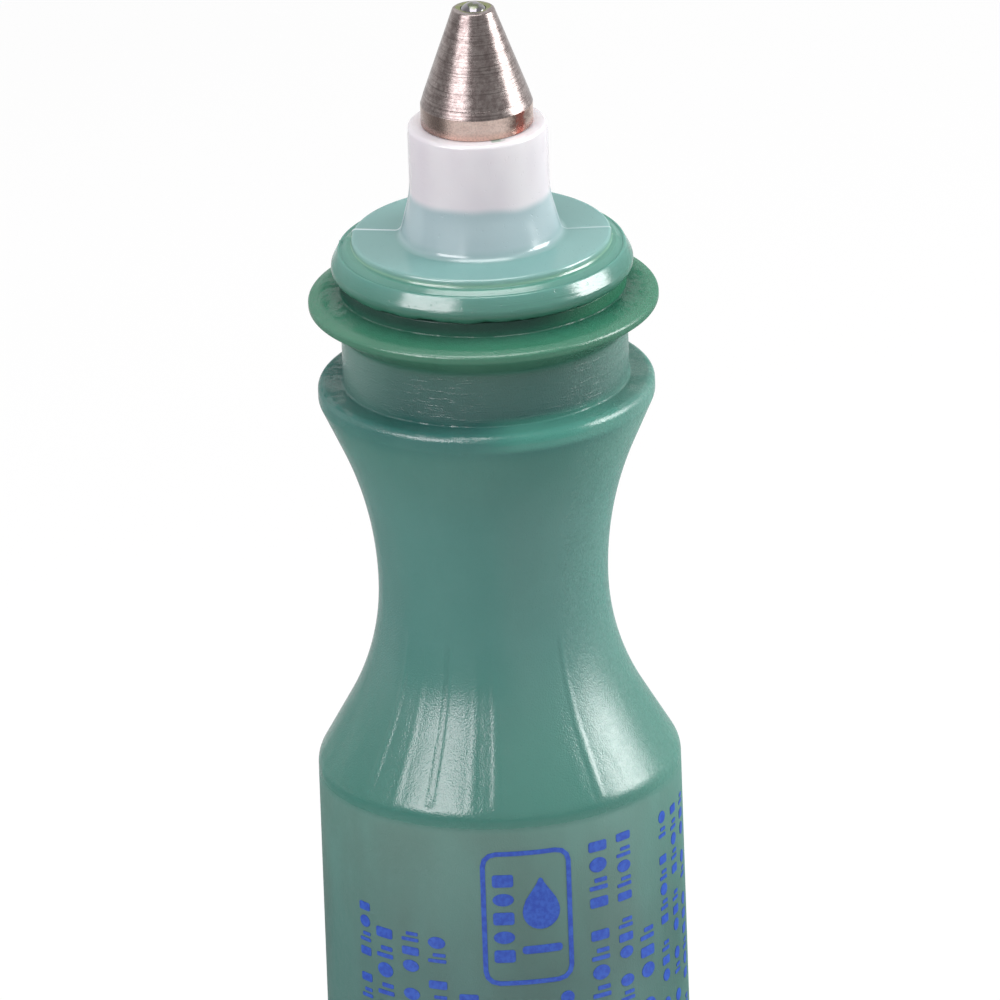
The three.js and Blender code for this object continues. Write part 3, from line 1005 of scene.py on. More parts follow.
@dataclass
class SqueezeBottle:
    """The blow-moulded bottle: body, flare, waist, grip, bead, groove, collar and neck."""

    mould_radius: float = 13.0
    ink_room: float = 0.04
    body_length: float = 93.0
    wall: float = 1.0
    heel: float = 2.0
    foot_ring: float = 2.2
    push_up: float = 1.6
    push_up_slope: float = 2.8
    push_up_blend: float = 1.5
    body_corner: float = 2.0
    flare_angle: float = 30.0
    flare_blend: float = 18.5
    waist_radius: float = 8.2
    grip_angle: float = 24.0
    grip_blend: float = 26.5
    bead_radius: float = 12.0
    bead_height: float = 1.3
    bead_edge: float = 0.6
    groove_height: float = 4.1
    neck_radius: float = 10.2
    neck_wall: float = 1.4
    lip_edge: float = 0.15
    neck_foot_blend: float = 0.14
    groove_blend: float = 0.16
    inner_edge: float = 0.3
    collar_radius: float = 12.47
    collar_root: float = 2.8
    collar_rim: float = 1.05
    collar_rim_rise: float = 2.15
    collar_edge: float = 0.3
    collar_blend: float = 0.9
    rim_chamfer: float = 0.65
    rim_fall: float = 0.27
    neck_land: float = 1.1
    bead_foot_blend: float = 0.9
    steps: int = 256

    DIE_LINES: ClassVar[tuple[Point, ...]] = (
        (-48.0, 0.11), (-37.2, 0.05), (-24.0, -0.15), (-9.6, 0.05), (-1.4, 0.08), (33.8, 0.1)
    )
    DIE_LINE_START: ClassVar[float] = 0.4
    DIE_LINE_END: ClassVar[float] = 3.0

    def __post_init__(self) -> None:
        """Works out the body's radius and the heights from the foot up."""
        self.body_radius = self.mould_radius - self.ink_room
        flare = math.radians(self.flare_angle)
        grip = math.radians(self.grip_angle)
        self.flare_z = self.body_length + (self.mould_radius - self.waist_radius) / math.tan(flare)
        tangents = self.flare_blend * math.tan(flare / 2) + self.grip_blend * math.tan(grip / 2)
        self.grip_z = self.flare_z + tangents
        self.bead_z = self.grip_z + (self.bead_radius - self.waist_radius) / math.tan(grip)
        self.groove_z = self.bead_z + self.bead_height
        self.collar_z = self.groove_z + self.groove_height
        self.rim_z = self.collar_z + self.collar_rim_rise
        self.collar_top = self.collar_z + self.collar_root
        self.neck_top = self.collar_top + self.neck_land

    def outline(self) -> list[Point]:
        """The wall's section: down the outside, then up the inside.

        Returns:
            Radius and height of each point, in millimetres.
        """
        half = self.collar_rim / 2
        bore = self.neck_radius - self.neck_wall
        foot_inner = self.body_radius - self.heel - self.foot_ring
        push_up_r = foot_inner - self.push_up_slope
        outside = [
            Corner(bore, self.neck_top),
            Corner(self.neck_radius, self.neck_top, self.lip_edge),
            Corner(self.neck_radius, self.collar_top, self.neck_foot_blend),
            Corner(self.collar_radius - self.rim_chamfer, self.rim_z + half - self.rim_fall, self.lip_edge),
            Corner(self.collar_radius, self.rim_z, self.collar_edge),
            Corner(self.collar_radius, self.rim_z - half, self.collar_edge),
            Corner(self.neck_radius, self.collar_z, self.collar_blend),
            Corner(self.neck_radius, self.groove_z, self.groove_blend),
            Corner(self.bead_radius, self.groove_z, self.bead_edge),
            Corner(self.bead_radius, self.bead_z, self.bead_foot_blend),
            Corner(self.waist_radius, self.grip_z, self.grip_blend),
            Corner(self.waist_radius, self.flare_z, self.flare_blend),
            Corner(self.body_radius, self.body_length, self.body_corner),
            Corner(self.body_radius, 0, self.heel),
            Corner(foot_inner, 0, self.push_up_blend / 2),
            Corner(push_up_r, self.push_up, self.push_up_blend),
            Corner(0, self.push_up),
        ]
        inset = self.wall
        inside = [
            Corner(0, self.push_up + inset),
            Corner(push_up_r, self.push_up + inset, self.push_up_blend + inset),
            Corner(foot_inner, inset, self.push_up_blend / 2),
            Corner(self.body_radius - inset, inset, self.heel - inset),
            Corner(self.body_radius - inset, self.body_length, self.body_corner),
            Corner(self.waist_radius - inset, self.flare_z, self.flare_blend + inset),
            Corner(self.waist_radius - inset, self.grip_z, self.grip_blend + inset),
            Corner(self.bead_radius - inset, self.groove_z - inset, self.inner_edge),
            Corner(bore, self.groove_z - inset, self.inner_edge),
            Corner(bore, self.neck_top),
        ]
        hidden = divided(rounded(inside, turn_step=12.0, chord=3.0), 8.0)
        return divided(rounded(outside), 1.6) + hidden[:-1]

    def build(self) -> Piece:
        """Builds the bottle with the die lines on its flare.

        Returns:
            The bottle.
        """
        piece = spun("bottle_shell", self.outline(), self.steps)
        low, high = self.body_length + self.DIE_LINE_START, self.flare_z + self.DIE_LINE_END
        for azimuth, height in self.DIE_LINES:
            raise_line(piece, azimuth, low, high, height)
        return piece

    def dress(self, piece: Piece) -> None:
        """Finishes the bottle and ties it to the frame.

        Args:
            piece: The bottle.
        """
        dress(piece, BottlePlastic().make())
        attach(piece, Body.BARREL.value)
        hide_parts("bottle")


class Mark(Enum):
    """Shapes that the print is made of."""

    BLOCK = "block"
    FRAME = "frame"
    DISC = "disc"
    DROP = "drop"


class Cell(Enum):
    """One place in a word of the print, and the letter that the words are written with here."""

    BLOCK = "b"
    DISC = "d"
    BARS = "t"


@dataclass(frozen=True)
class Row:
    """One upright row of small marks: its azimuth in degrees, top, foot and width in millimetres."""

    azimuth: float
    top: float
    foot: float
    width: float
    bold: bool = False


@dataclass(frozen=True)
class Ink:
    """Blue screen ink with a fine grain."""

    light: Colour = (48, 94, 192)
    dark: Colour = (34, 72, 176)

    def make(self) -> bpy.types.Material:
        """Builds the material.

        Returns:
            The material.
        """
        p = Palette("blue_ink")
        grain = p.noise((3.0, 3.0, 3.0), 3.0, 0.6)
        p.link(p.mix(p.between(grain, 0.35, 0.65), self.dark, self.light), p.shader.inputs["Base Color"])
        p.link(p.between(grain, 0.3, 0.7, (0.4, 0.55)), p.shader.inputs["Roughness"])
        p.bump([(grain, 0.004)])
        p.tame_edges(1.45, 1.15, 0.8)
        return p.material


class BodyPrint:
    """The ink on the body: a framed drop, a contents scale and two blocks of upright rows.

    Marks are drawn flat before the viewer, laid on the bottle, thickened and turned to their place.
    """

    SINK = 0.03
    RISE = 0.03
    STROKE = 0.34
    PITCH = 1.15
    CUT_STEP = 0.5
    BOLD_STRETCH = 1.25
    MIDDLE_AZIMUTH = 7.0
    PANEL_MIDDLE = 85.2
    SCALE_SPAN = (16.0, 74.0)
    SCALE_STEPS = 20
    SCALE_LEFT = -1.4
    DISC_POINTS = 24
    DROP_STEPS = ((0.15, 0.1, 0.94), (0.36, 0.16, 0.74), (0.58, 0.2, 0.4))
    WORDS = ("bdtb", "tbd", "dbbtdb", "btdtb", "dt")
    LEFT = (
        Row(-50.6, 85.2, 30.0, 1.1),
        Row(-42.1, 83.8, 36.0, 1.5, True),
        Row(-32.0, 83.9, 26.0, 1.4),
        Row(-22.6, 83.7, 41.0, 1.4),
        Row(-12.5, 79.6, 33.0, 1.4),
    )
    RIGHT = (
        Row(31.2, 90.5, 28.0, 1.5, True),
        Row(41.3, 90.5, 38.0, 1.3),
        Row(50.9, 82.5, 30.0, 1.5, True),
        Row(61.3, 90.4, 25.0, 1.0),
        Row(69.9, 90.3, 44.0, 1.0),
        Row(79.0, 90.3, 34.0, 1.0),
    )

    def __init__(self, bottle: Piece, radius: float) -> None:
        """Takes the bottle that is printed on.

        Args:
            bottle: The bottle.
            radius: Its body's radius, in millimetres.
        """
        self.bottle = bottle
        self.radius = radius

    def start(self, name: str) -> Piece:
        """Opens an empty sheet for drawing.

        Args:
            name: The sheet's name.

        Returns:
            The sheet.
        """
        bpy.ops.object.select_all(action="DESELECT")
        bpy.ops.mesh.primitive_plane_add(size=MM)
        sheet = start_piece(name)
        bpy.ops.object.mode_set(mode="EDIT")
        bpy.ops.mesh.select_mode(type="VERT")
        bpy.ops.mesh.select_all(action="SELECT")
        bpy.ops.mesh.delete(type="VERT")
        return sheet

    def draw(
        self, mark: Mark, across: float, up: float, width: float, height: float, corner: float = 0.12
    ) -> None:
        """Draws one mark on the sheet that is open.

        Args:
            mark: Its shape.
            across: Its middle across the sheet, in millimetres.
            up: The height of its middle, in millimetres.
            width: Its width, in millimetres.
            height: Its height, in millimetres.
            corner: The rounding of a block's or a frame's corners, in millimetres.
        """
        bpy.ops.mesh.select_all(action="DESELECT")
        place = (across * MM, -2 * self.radius * MM, up * MM)
        upright = (math.pi / 2, 0, 0)
        if mark in (Mark.BLOCK, Mark.FRAME):
            bpy.ops.mesh.primitive_plane_add(size=MM, location=place, rotation=upright)
            bpy.ops.transform.resize(value=(width, 1, height))
            bpy.ops.mesh.bevel(offset=corner * MM, offset_type="OFFSET", segments=3, affect="VERTICES")
        else:
            bpy.ops.mesh.primitive_circle_add(
                vertices=self.DISC_POINTS, radius=MM / 2, fill_type="NGON", location=place, rotation=upright
            )
            bpy.ops.transform.resize(value=(width, 1, height))
        if mark is Mark.FRAME:
            bpy.ops.mesh.select_mode(type="FACE")
            bpy.ops.mesh.inset(thickness=self.STROKE * MM)
            bpy.ops.mesh.delete(type="FACE")
            bpy.ops.mesh.select_mode(type="VERT")
        elif mark is Mark.DROP:
            self.point(place, height)

    def point(self, place: Triple, height: float) -> None:
        """Draws the top of the disc that was just added out into a drop's tip.

        Args:
            place: The disc's middle, in metres.
            height: The disc's height, in millimetres.
        """
        sheet = bpy.context.object
        middle = Vector(place)
        near = 1.1 * height * MM
        for reach, rise, squeeze in self.DROP_STEPS:
            bpy.ops.mesh.select_all(action="DESELECT")
            bpy.ops.object.mode_set(mode="OBJECT")
            level = middle.z + reach * height * MM
            for vertex in sheet.data.vertices:
                vertex.select = (vertex.co - middle).length < near and vertex.co.z > level
            bpy.ops.object.mode_set(mode="EDIT")
            bpy.ops.transform.translate(value=(0, 0, rise * height * MM))
            bpy.ops.transform.resize(value=(squeeze, 1, 1), center_override=place)

    def lay(self, sheet: Piece, azimuth: float, width: float) -> None:
        """Lays a drawn sheet on the bottle, gives it the ink's thickness and turns it to its place.

        Args:
            sheet: The sheet.
            azimuth: Its middle, in degrees from the viewer, positive to the right.
            width: How wide its marks reach, in millimetres.
        """
        select_only(sheet)
        bpy.ops.object.mode_set(mode="EDIT")
        reach = math.ceil(width / 2 / self.CUT_STEP)
        for cut in range(-reach, reach + 1):
            bpy.ops.mesh.select_all(action="SELECT")
            bpy.ops.mesh.bisect(plane_co=((cut + 0.5) * self.CUT_STEP * MM, 0, 0), plane_no=(1, 0, 0))
        bpy.ops.object.mode_set(mode="OBJECT")
        wrap = sheet.modifiers.new("wrap", "SHRINKWRAP")
        wrap.wrap_method = "PROJECT"
        wrap.use_project_y = True
        wrap.use_negative_direction = True
        wrap.use_positive_direction = True
        wrap.target = self.bottle
        wrap.offset = -self.SINK * MM
        bpy.ops.object.modifier_apply(modifier=wrap.name)
        self.face_outwards(sheet)
        ink = sheet.modifiers.new("ink", "SOLIDIFY")
        ink.thickness = (self.SINK + self.RISE) * MM
        ink.offset = 1.0
        bpy.ops.object.modifier_apply(modifier=ink.name)
        sheet.rotation_euler = (0, 0, math.radians(azimuth))
        settle()

    def face_outwards(self, sheet: Piece) -> None:
        """Turns every face of a flat sheet towards the viewer.

        Args:
            sheet: The sheet.
        """
        bpy.ops.object.mode_set(mode="EDIT")
        bpy.ops.mesh.select_mode(type="FACE")
        bpy.ops.mesh.select_all(action="DESELECT")
        bpy.ops.object.mode_set(mode="OBJECT")
        for face in sheet.data.polygons:
            face.select = face.normal.y > 0
        bpy.ops.object.mode_set(mode="EDIT")
        bpy.ops.mesh.flip_normals()
        bpy.ops.mesh.select_mode(type="VERT")
        bpy.ops.object.mode_set(mode="OBJECT")

    def panel(self) -> Piece:
        """Draws the frame with a drop, a column of marks and a disc below.

        Returns:
            The sheet.
        """
        sheet = self.start("print_panel")
        middle = self.PANEL_MIDDLE
        self.draw(Mark.FRAME, 0.0, middle, 6.5, 10.3, 1.1)
        self.draw(Mark.DROP, 1.0, middle + 0.4, 2.7, 2.7)
        self.draw(Mark.BLOCK, 1.0, middle - 2.5, 2.9, 0.6, 0.25)
        for i in range(5):
            self.draw(Mark.DISC if i % 2 else Mark.BLOCK, -1.7, middle + 2.9 - 1.45 * i, 1.5, 0.95, 0.2)
        self.draw(Mark.DISC, 2.7, middle - 6.5, 1.0, 1.0)
        bpy.ops.object.mode_set(mode="OBJECT")
        self.lay(sheet, self.MIDDLE_AZIMUTH, 7.0)
        return sheet

    def scale(self) -> Piece:
        """Draws the contents scale: an upright line with long and short ticks.

        Returns:
            The sheet.
        """
        sheet = self.start("print_scale")
        low, high = self.SCALE_SPAN
        self.draw(Mark.BLOCK, self.SCALE_LEFT, (low + high) / 2, self.STROKE, high - low, 0.1)
        for i in range(self.SCALE_STEPS + 1):
            length = 2.2 if i % 5 == 0 else 1.1
            middle = self.SCALE_LEFT + 0.2 + length / 2
            up = low + (high - low) * i / self.SCALE_STEPS
            self.draw(Mark.BLOCK, middle, up, length, self.STROKE, 0.1)
        bpy.ops.object.mode_set(mode="OBJECT")
        self.lay(sheet, self.MIDDLE_AZIMUTH, 4.0)
        return sheet

    def words(self) -> list[Piece]:
        """Models the words that the rows repeat: groups of marks, a millimetre wide, from the top down.

        Returns:
            The words.
        """
        made = []
        for i, letters in enumerate(self.WORDS):
            word = self.start(f"word_{i}")
            for k, letter in enumerate(letters):
                cell = Cell(letter)
                z = -self.PITCH * (k + 0.5)
                if cell is Cell.BLOCK:
                    self.draw(Mark.BLOCK, 0.0, z, 1.0, 0.62)
                elif cell is Cell.DISC:
                    self.draw(Mark.DISC, 0.0, z, 0.95, 0.9)
                else:
                    self.draw(Mark.BLOCK, 0.0, z - 0.26, 1.0, 0.26, 0.06)
                    self.draw(Mark.BLOCK, 0.12, z + 0.2, 0.7, 0.26, 0.06)
            bpy.ops.object.mode_set(mode="OBJECT")
            made.append(word)
        return made

    def row(self, row: Row, words: list[Piece], seed: int) -> Piece:
        """Builds one row from copies of the words.

        Args:
            row: Where it goes.
            words: The words.
            seed: Where in the order of words it begins.

        Returns:
            The row, laid on the bottle.
        """
        stretch = self.BOLD_STRETCH if row.bold else 1.0
        z, i, copies = row.top, seed, []
        while z > row.foot:
            word = words[(i * 3 + i // 4) % len(words)]
            copy = bpy.data.objects.new(f"{word.name}_copy", word.data.copy())
            bpy.context.scene.collection.objects.link(copy)
            copy.location = (0, 0, z * MM)
            copy.scale = (row.width, 1, stretch)
            copies.append(copy)
            z += (min(vertex.co.z for vertex in word.data.vertices) / MM - self.PITCH) * stretch
            i += 1
        select_only(*copies)
        bpy.ops.object.join()
        settle()
        self.lay(copies[0], row.azimuth, row.width)
        return copies[0]

    def block(self, name: str, rows: tuple[Row, ...], words: list[Piece]) -> Piece:
        """Builds a block of rows as one piece.

        Args:
            name: The piece's name.
            rows: Its rows.
            words: The words.

        Returns:
            The piece.
        """
        made = [self.row(row, words, seed) for seed, row in enumerate(rows)]
        select_only(*made)
        bpy.ops.object.join()
        return start_piece(name)

    def build(self) -> list[Piece]:
        """Draws and lays every piece of the print.

        Returns:
            The pieces.
        """
        words = self.words()
        pieces = [
            self.panel(),
            self.scale(),
            self.block("print_left_rows", self.LEFT, words),
            self.block("print_right_rows", self.RIGHT, words),
        ]
        select_only(*words)
        bpy.ops.object.delete()
        return pieces

    def dress(self, sheets: list[Piece]) -> None:
        """Inks the sheets and ties them to the frame.

        Args:
            sheets: The sheets.
        """
        ink = Ink().make()
        for sheet in sheets:
            dress(sheet, ink)
            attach(sheet, Body.BARREL.value)


@dataclass
class NozzlePlug:
    """The moulded plug: skirt, rim flange, disc and stem."""

    neck_top: float
    neck_bore: float
    flange_radius: float = 10.75
    flange_height: float = 1.95
    flange_edge: float = 0.9
    chamfer: float = 1.05
    ridge_radius: float = 10.2
    ridge_height: float = 0.03
    disc_setback: float = 1.55
    disc_step: float = 0.9
    stem_radius: float = 4.95
    stem_height: float = 8.45
    stem_bore: float = 3.05
    foot_spread: float = 0.8
    foot_height: float = 3.1
    foot_blend: float = 6.0
    roof: float = 1.4
    skirt_length: float = 7.4
    skirt_gap: float = 0.35
    skirt_wall: float = 1.1
    skirt_chamfer: float = 0.35
    lead_in: float = 0.7
    edge_break: float = 0.2
    flash_rise: float = 0.75
    flash_grain: float = 1.1
    flash_depth: float = 0.34
    steps: int = 192

    PARTING_LINES: ClassVar[tuple[Point, ...]] = ((-99.4, 0.09), (91.9, 0.05))
    DISC_FOOT: ClassVar[tuple[Triple, ...]] = ((0.4, 0.24, 0.1), (0.14, 0.3, 0.05), (0.06, 0.44, 0.06))

    def __post_init__(self) -> None:
        """Works out the heights from the neck's top up."""
        self.flange_top = self.neck_top + self.flange_height
        self.disc_top = self.flange_top + self.disc_step
        self.stem_top = self.disc_top + self.stem_height

    def outline(self) -> list[Point]:
        """The plug's section, from the stem's bore round the skirt and back up the outside.

        DISC_FOOT gives each corner at the disc's foot: out from the disc, up from the flange, and rounding.

        Returns:
            Radius and height of each point, in millimetres.
        """
        disc = self.flange_radius - self.disc_setback
        skirt = self.neck_bore - self.skirt_gap
        inner = skirt - self.skirt_wall
        roof_z = self.disc_top - self.roof
        end_z = self.neck_top - self.skirt_length
        corners = [
            Corner(self.stem_bore, self.stem_top, 0.15),
            Corner(self.stem_bore, roof_z, self.edge_break),
            Corner(inner, roof_z, 1.0),
            Corner(inner, end_z, self.edge_break),
            Corner(skirt - self.skirt_chamfer, end_z, self.edge_break),
            Corner(skirt, end_z + self.lead_in),
            Corner(skirt, self.neck_top, 0.1),
            Corner(self.flange_radius, self.neck_top, self.flange_edge * 0.75),
            Corner(self.flange_radius, self.flange_top - self.chamfer, 0.9),
            Corner(self.ridge_radius, self.flange_top + self.ridge_height, 0.14),
            Corner(self.ridge_radius - 0.2, self.flange_top - 0.04, 0.12),
            *(Corner(disc + out, self.flange_top + up, fillet) for out, up, fillet in self.DISC_FOOT),
            Corner(disc, self.disc_top, self.edge_break),
            Corner(self.stem_radius + self.foot_spread, self.disc_top, 0.6),
            Corner(self.stem_radius, self.disc_top + self.foot_height, self.foot_blend),
            Corner(self.stem_radius, self.stem_top, 0.28),
        ]
        return divided(rounded(corners, closed=True), 0.8)

    def build(self) -> Piece:
        """Builds the plug with its parting lines and the wavy flash under its flange.

        Returns:
            The plug.
        """
        piece = spun("plug_moulding", self.outline(), self.steps)
        low, high = self.flange_top - 0.02, self.stem_top - 0.4
        for azimuth, height in self.PARTING_LINES:
            raise_line(piece, azimuth, low, high, height)
        foot, crest = self.neck_top * MM, (self.neck_top + self.flash_rise) * MM
        reach = (self.flange_radius - self.flange_edge) * MM

        def low_edge(place: Vector) -> float:
            """Share of the flash's wave on the flange's lower edge.

            Args:
                place: The vertex's place, in metres.

            Returns:
                The share, from 0 to 1.
            """
            if math.hypot(place.x, place.y) < reach or not foot - MM * 0.01 <= place.z <= crest:
                return 0.0
            return 1.0 - (place.z - foot) / (crest - foot)

        displace(piece, low_edge, self.flash_grain, self.flash_depth, "Z")
        return piece

    def dress(self, piece: Piece) -> None:
        """Finishes the plug and ties it to the frame.

        Args:
            piece: The plug.
        """
        dress(piece, PlugPlastic(self.disc_top, self.stem_top).make())
        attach(piece, Body.BARREL.value)
        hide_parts("nozzle_plug")


def spun_ball(name: str, radius: float, height: float, stretch: float = 0.0) -> Piece:
    """Spins a ball round the marker's axis.

    Args:
        name: The piece's name.
        radius: The ball's radius, in millimetres.
        height: The height of its middle, in millimetres.
        stretch: How far its upper half is drawn up, in millimetres.

    Returns:
        The ball.
    """
    steps = 32
    half = [(0.0, height - radius)]
    for i in range(1, steps):
        angle = math.pi * (i / steps - 0.5)
        rise = stretch if i > steps // 2 else 0.0
        half.append((radius * math.cos(angle), height + radius * math.sin(angle) + rise))
    half.append((0.0, height + radius + stretch))
    return spun(name, half, 2 * steps, closed=False)


@dataclass
class SteelTip:
    """The turned tip and its writing ball."""

    foot: float
    band_radius: float = 4.0
    band_height: float = 1.55
    bevel_height: float = 0.64
    bevel_depth: float = 0.2
    scribe: float = 0.03
    cone_height: float = 6.46
    nose_radius: float = 1.5
    shank_radius: float = 2.82
    shank_length: float = 5.1
    bore_radius: float = 1.65
    ball_radius: float = 1.1
    ball_gap: float = 0.04
    ball_stands_out: float = 0.43
    seat_foot: float = 1.5
    bore_head: float = 2.0
    band_edge: float = 0.14
    bevel_edge: float = 0.05
    nose_edge: float = 0.3
    shank_edge: float = 0.2
    ring_pitch: float = 0.21
    ring_depth: float = 0.009
    seat_steps: int = 12
    steps: int = 128

    def __post_init__(self) -> None:
        """Works out the heights from the stem's top up."""
        self.band_top = self.foot + self.band_height
        self.cone_foot = self.band_top + self.bevel_height
        self.nose = self.cone_foot + self.cone_height
        self.ball_z = self.nose + self.ball_stands_out - self.ball_radius

    def cone_rings(self) -> list[Corner]:
        """The cone's side with the fine grooves that the turning tool left.

        Returns:
            The corners, from its foot up.
        """
        low_r = self.band_radius - self.bevel_depth
        count = int(self.cone_height / self.ring_pitch)
        corners = []
        for i in range(count):
            for share, depth in ((0.0, 0.0), (0.5, self.ring_depth)):
                along = (i + share) / count
                r = low_r + (self.nose_radius - low_r) * along - depth
                corners.append(Corner(r, self.cone_foot + self.cone_height * along))
        return corners

    def outline(self) -> list[Point]:
        """The tip's section, from the seat down the bore and up the outside.

        Returns:
            Radius and height of each point, in millimetres.
        """
        seat_radius = self.ball_radius + self.ball_gap
        mouth = math.asin((self.nose - self.ball_z) / seat_radius)
        seat = []
        for i in range(self.seat_steps + 1):
            angle = mouth * (1 - i / self.seat_steps)
            seat.append(Corner(seat_radius * math.cos(angle), self.ball_z + seat_radius * math.sin(angle)))
        end_z = self.foot - self.shank_length
        corners = [
            *seat,
            Corner(seat_radius, self.ball_z - self.seat_foot),
            Corner(self.bore_radius, self.ball_z - self.bore_head),
            Corner(self.bore_radius, end_z),
            Corner(self.shank_radius, end_z, self.shank_edge),
            Corner(self.shank_radius, self.foot),
            Corner(self.band_radius, self.foot, self.band_edge),
            Corner(self.band_radius, self.band_top, self.bevel_edge),
            Corner(self.band_radius - self.bevel_depth, self.cone_foot - 2 * self.scribe),
            Corner(self.band_radius - self.bevel_depth - self.scribe, self.cone_foot - self.scribe),
            *self.cone_rings(),
            Corner(self.nose_radius, self.nose, self.nose_edge),
        ]
        return rounded(corners, closed=True)

    def build(self) -> list[Piece]:
        """Builds the tip and the ball.

        Returns:
            The tip and the ball.
        """
        tip = spun("turned_tip", self.outline(), self.steps)
        ball = spun_ball("polished_ball", self.ball_radius, self.ball_z)
        return [tip, ball]

    def dress(self, pieces: list[Piece]) -> None:
        """Finishes the tip and the ball and ties them to the frame.

        Args:
            pieces: The tip and the ball.
        """
        tip, ball = pieces
        dress(tip, TurnedSteel(self.foot, self.band_top, self.nose).make())
        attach(tip, Body.BARREL.value)
        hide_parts("tip_body")
        dress(ball, PolishedSteel().make())
        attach(ball, Body.WRITING_BALL.value)
        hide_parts("writing_ball")


@dataclass(frozen=True)
class ValveSpring:
    """The wound spring under the follower, which is pressed together as the follower goes down."""

    wire_radius: float = 0.15
    coils: int = 8
    coil_steps: int = 32
    wire_steps: int = 14
    finish: PlainFinish = PlainFinish("spring_steel", (176, 178, 180), (148, 150, 153), 0.25, 1.0, 3.0)

    def build(self) -> Piece:
        """Winds the spring in the space of its node and closes the wire's ends.

        Returns:
            The spring.
        """
        low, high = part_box("valve_spring")
        wire = self.wire_radius * MM
        mean = high[0] - wire
        foot, head = low[2] + wire, high[2] - wire
        bpy.ops.object.select_all(action="DESELECT")
        bpy.ops.mesh.primitive_circle_add(
            vertices=self.wire_steps, radius=wire, location=(mean, 0, foot), rotation=(math.pi / 2, 0, 0)
        )
        spring = start_piece("wound_spring")
        settle()
        winding = spring.modifiers.new("winding", "SCREW")
        winding.axis = "Z"
        winding.screw_offset = (head - foot) / self.coils
        winding.iterations = self.coils
        winding.steps = winding.render_steps = self.coil_steps
        bpy.ops.object.modifier_apply(modifier=winding.name)
        bpy.ops.object.mode_set(mode="EDIT")
        bpy.ops.mesh.select_all(action="SELECT")
        bpy.ops.mesh.fill_holes(sides=0)
        close_up(40.0)
        return spring

    def dress(self, spring: Piece) -> None:
        """Finishes the spring and puts its place into its mesh.

        Args:
            spring: The spring.
        """
        dress(spring, self.finish.make())
        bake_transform(spring)
        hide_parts("valve_spring")


def ball_in_paint(name: str, room: float = 0.0, travel: float = 0.0) -> Piece:
    """Spins a ball where the mixing ball's node lies.

    Args:
        name: The ball's name.
        room: How much larger its radius is than the mixing ball's, in millimetres.
        travel: How far its upper half is drawn up, in millimetres.

    Returns:
        The ball.
    """
    low, high = (Vector(corner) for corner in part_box("mixing_ball"))
    middle = (low + high) / 2
    ball = spun_ball(name, (high.z - low.z) / 2 / MM + room, middle.z / MM, travel)
    ball.location = (middle.x, middle.y, 0)
    settle()
    return ball


@dataclass(frozen=True)
class MixingBall:
    """The loose ball in the paint."""

    finish: PolishedSteel = PolishedSteel("mixing_steel", 0.7, (200, 199, 196))

    def build(self) -> Piece:
        """Spins the ball where its node lies."""
        return ball_in_paint("loose_ball")

    def dress(self, ball: Piece) -> None:
        """Finishes the ball and ties it to the frame.

        Args:
            ball: The ball.
        """
        dress(ball, self.finish.make())
        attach(ball, Body.MIXING_BALL.value)
        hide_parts("mixing_ball")


@dataclass(frozen=True)
class PaintFill:
    """The paint, open along the way that the mixing ball takes through it."""

    travel: float
    room: float = 0.35
    finish: PlainFinish = PlainFinish("paint", (52, 128, 102), (38, 104, 82), 0.25, 0.0, 0.4)

    def build(self, node: Piece) -> Piece:
        """Copies the paint's solid and clears the ball's way in the copy.

        Args:
            node: The frame's paint.

        Returns:
            The paint.
        """
        way = ball_in_paint("ball_way", self.room, self.travel)
        paint = bpy.data.objects.new("paint_fill", node.data.copy())
        bpy.context.scene.collection.objects.link(paint)
        select_vertices(paint, lambda place: True)
        close_up()
        cut = paint.modifiers.new("cut", "BOOLEAN")
        cut.operation = "DIFFERENCE"
        cut.solver = "EXACT"
        cut.object = way
        bpy.ops.object.modifier_apply(modifier=cut.name)
        bpy.ops.object.mode_set(mode="EDIT")
        close_up()
        select_only(way)
        bpy.ops.object.delete()
        return paint

    def dress(self, paint: Piece) -> None:
        """Finishes the paint and ties it to the frame.

        Args:
            paint: The paint.
        """
        dress(paint, self.finish.make())
        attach(paint, Body.BARREL.value)
        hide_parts("paint_charge")


class InnerPieces:
    """The pieces inside which keep the frame's own shapes."""

    FINISHES = {
        "ball_follower": PlainFinish("follower_plastic", (236, 234, 228), (218, 216, 208), 0.45, 0.0, 1.5),
        "spring_retainer": PlainFinish("retainer_brass", (206, 174, 98), (178, 146, 76), 0.3, 1.0, 2.0),
    }

    def dress(self, nodes: dict[str, Piece]) -> None:
        """Finishes each inner node.

        Args:
            nodes: The frame's nodes by name.
        """
        for name, finish in self.FINISHES.items():
            dress(nodes[name], finish.make())


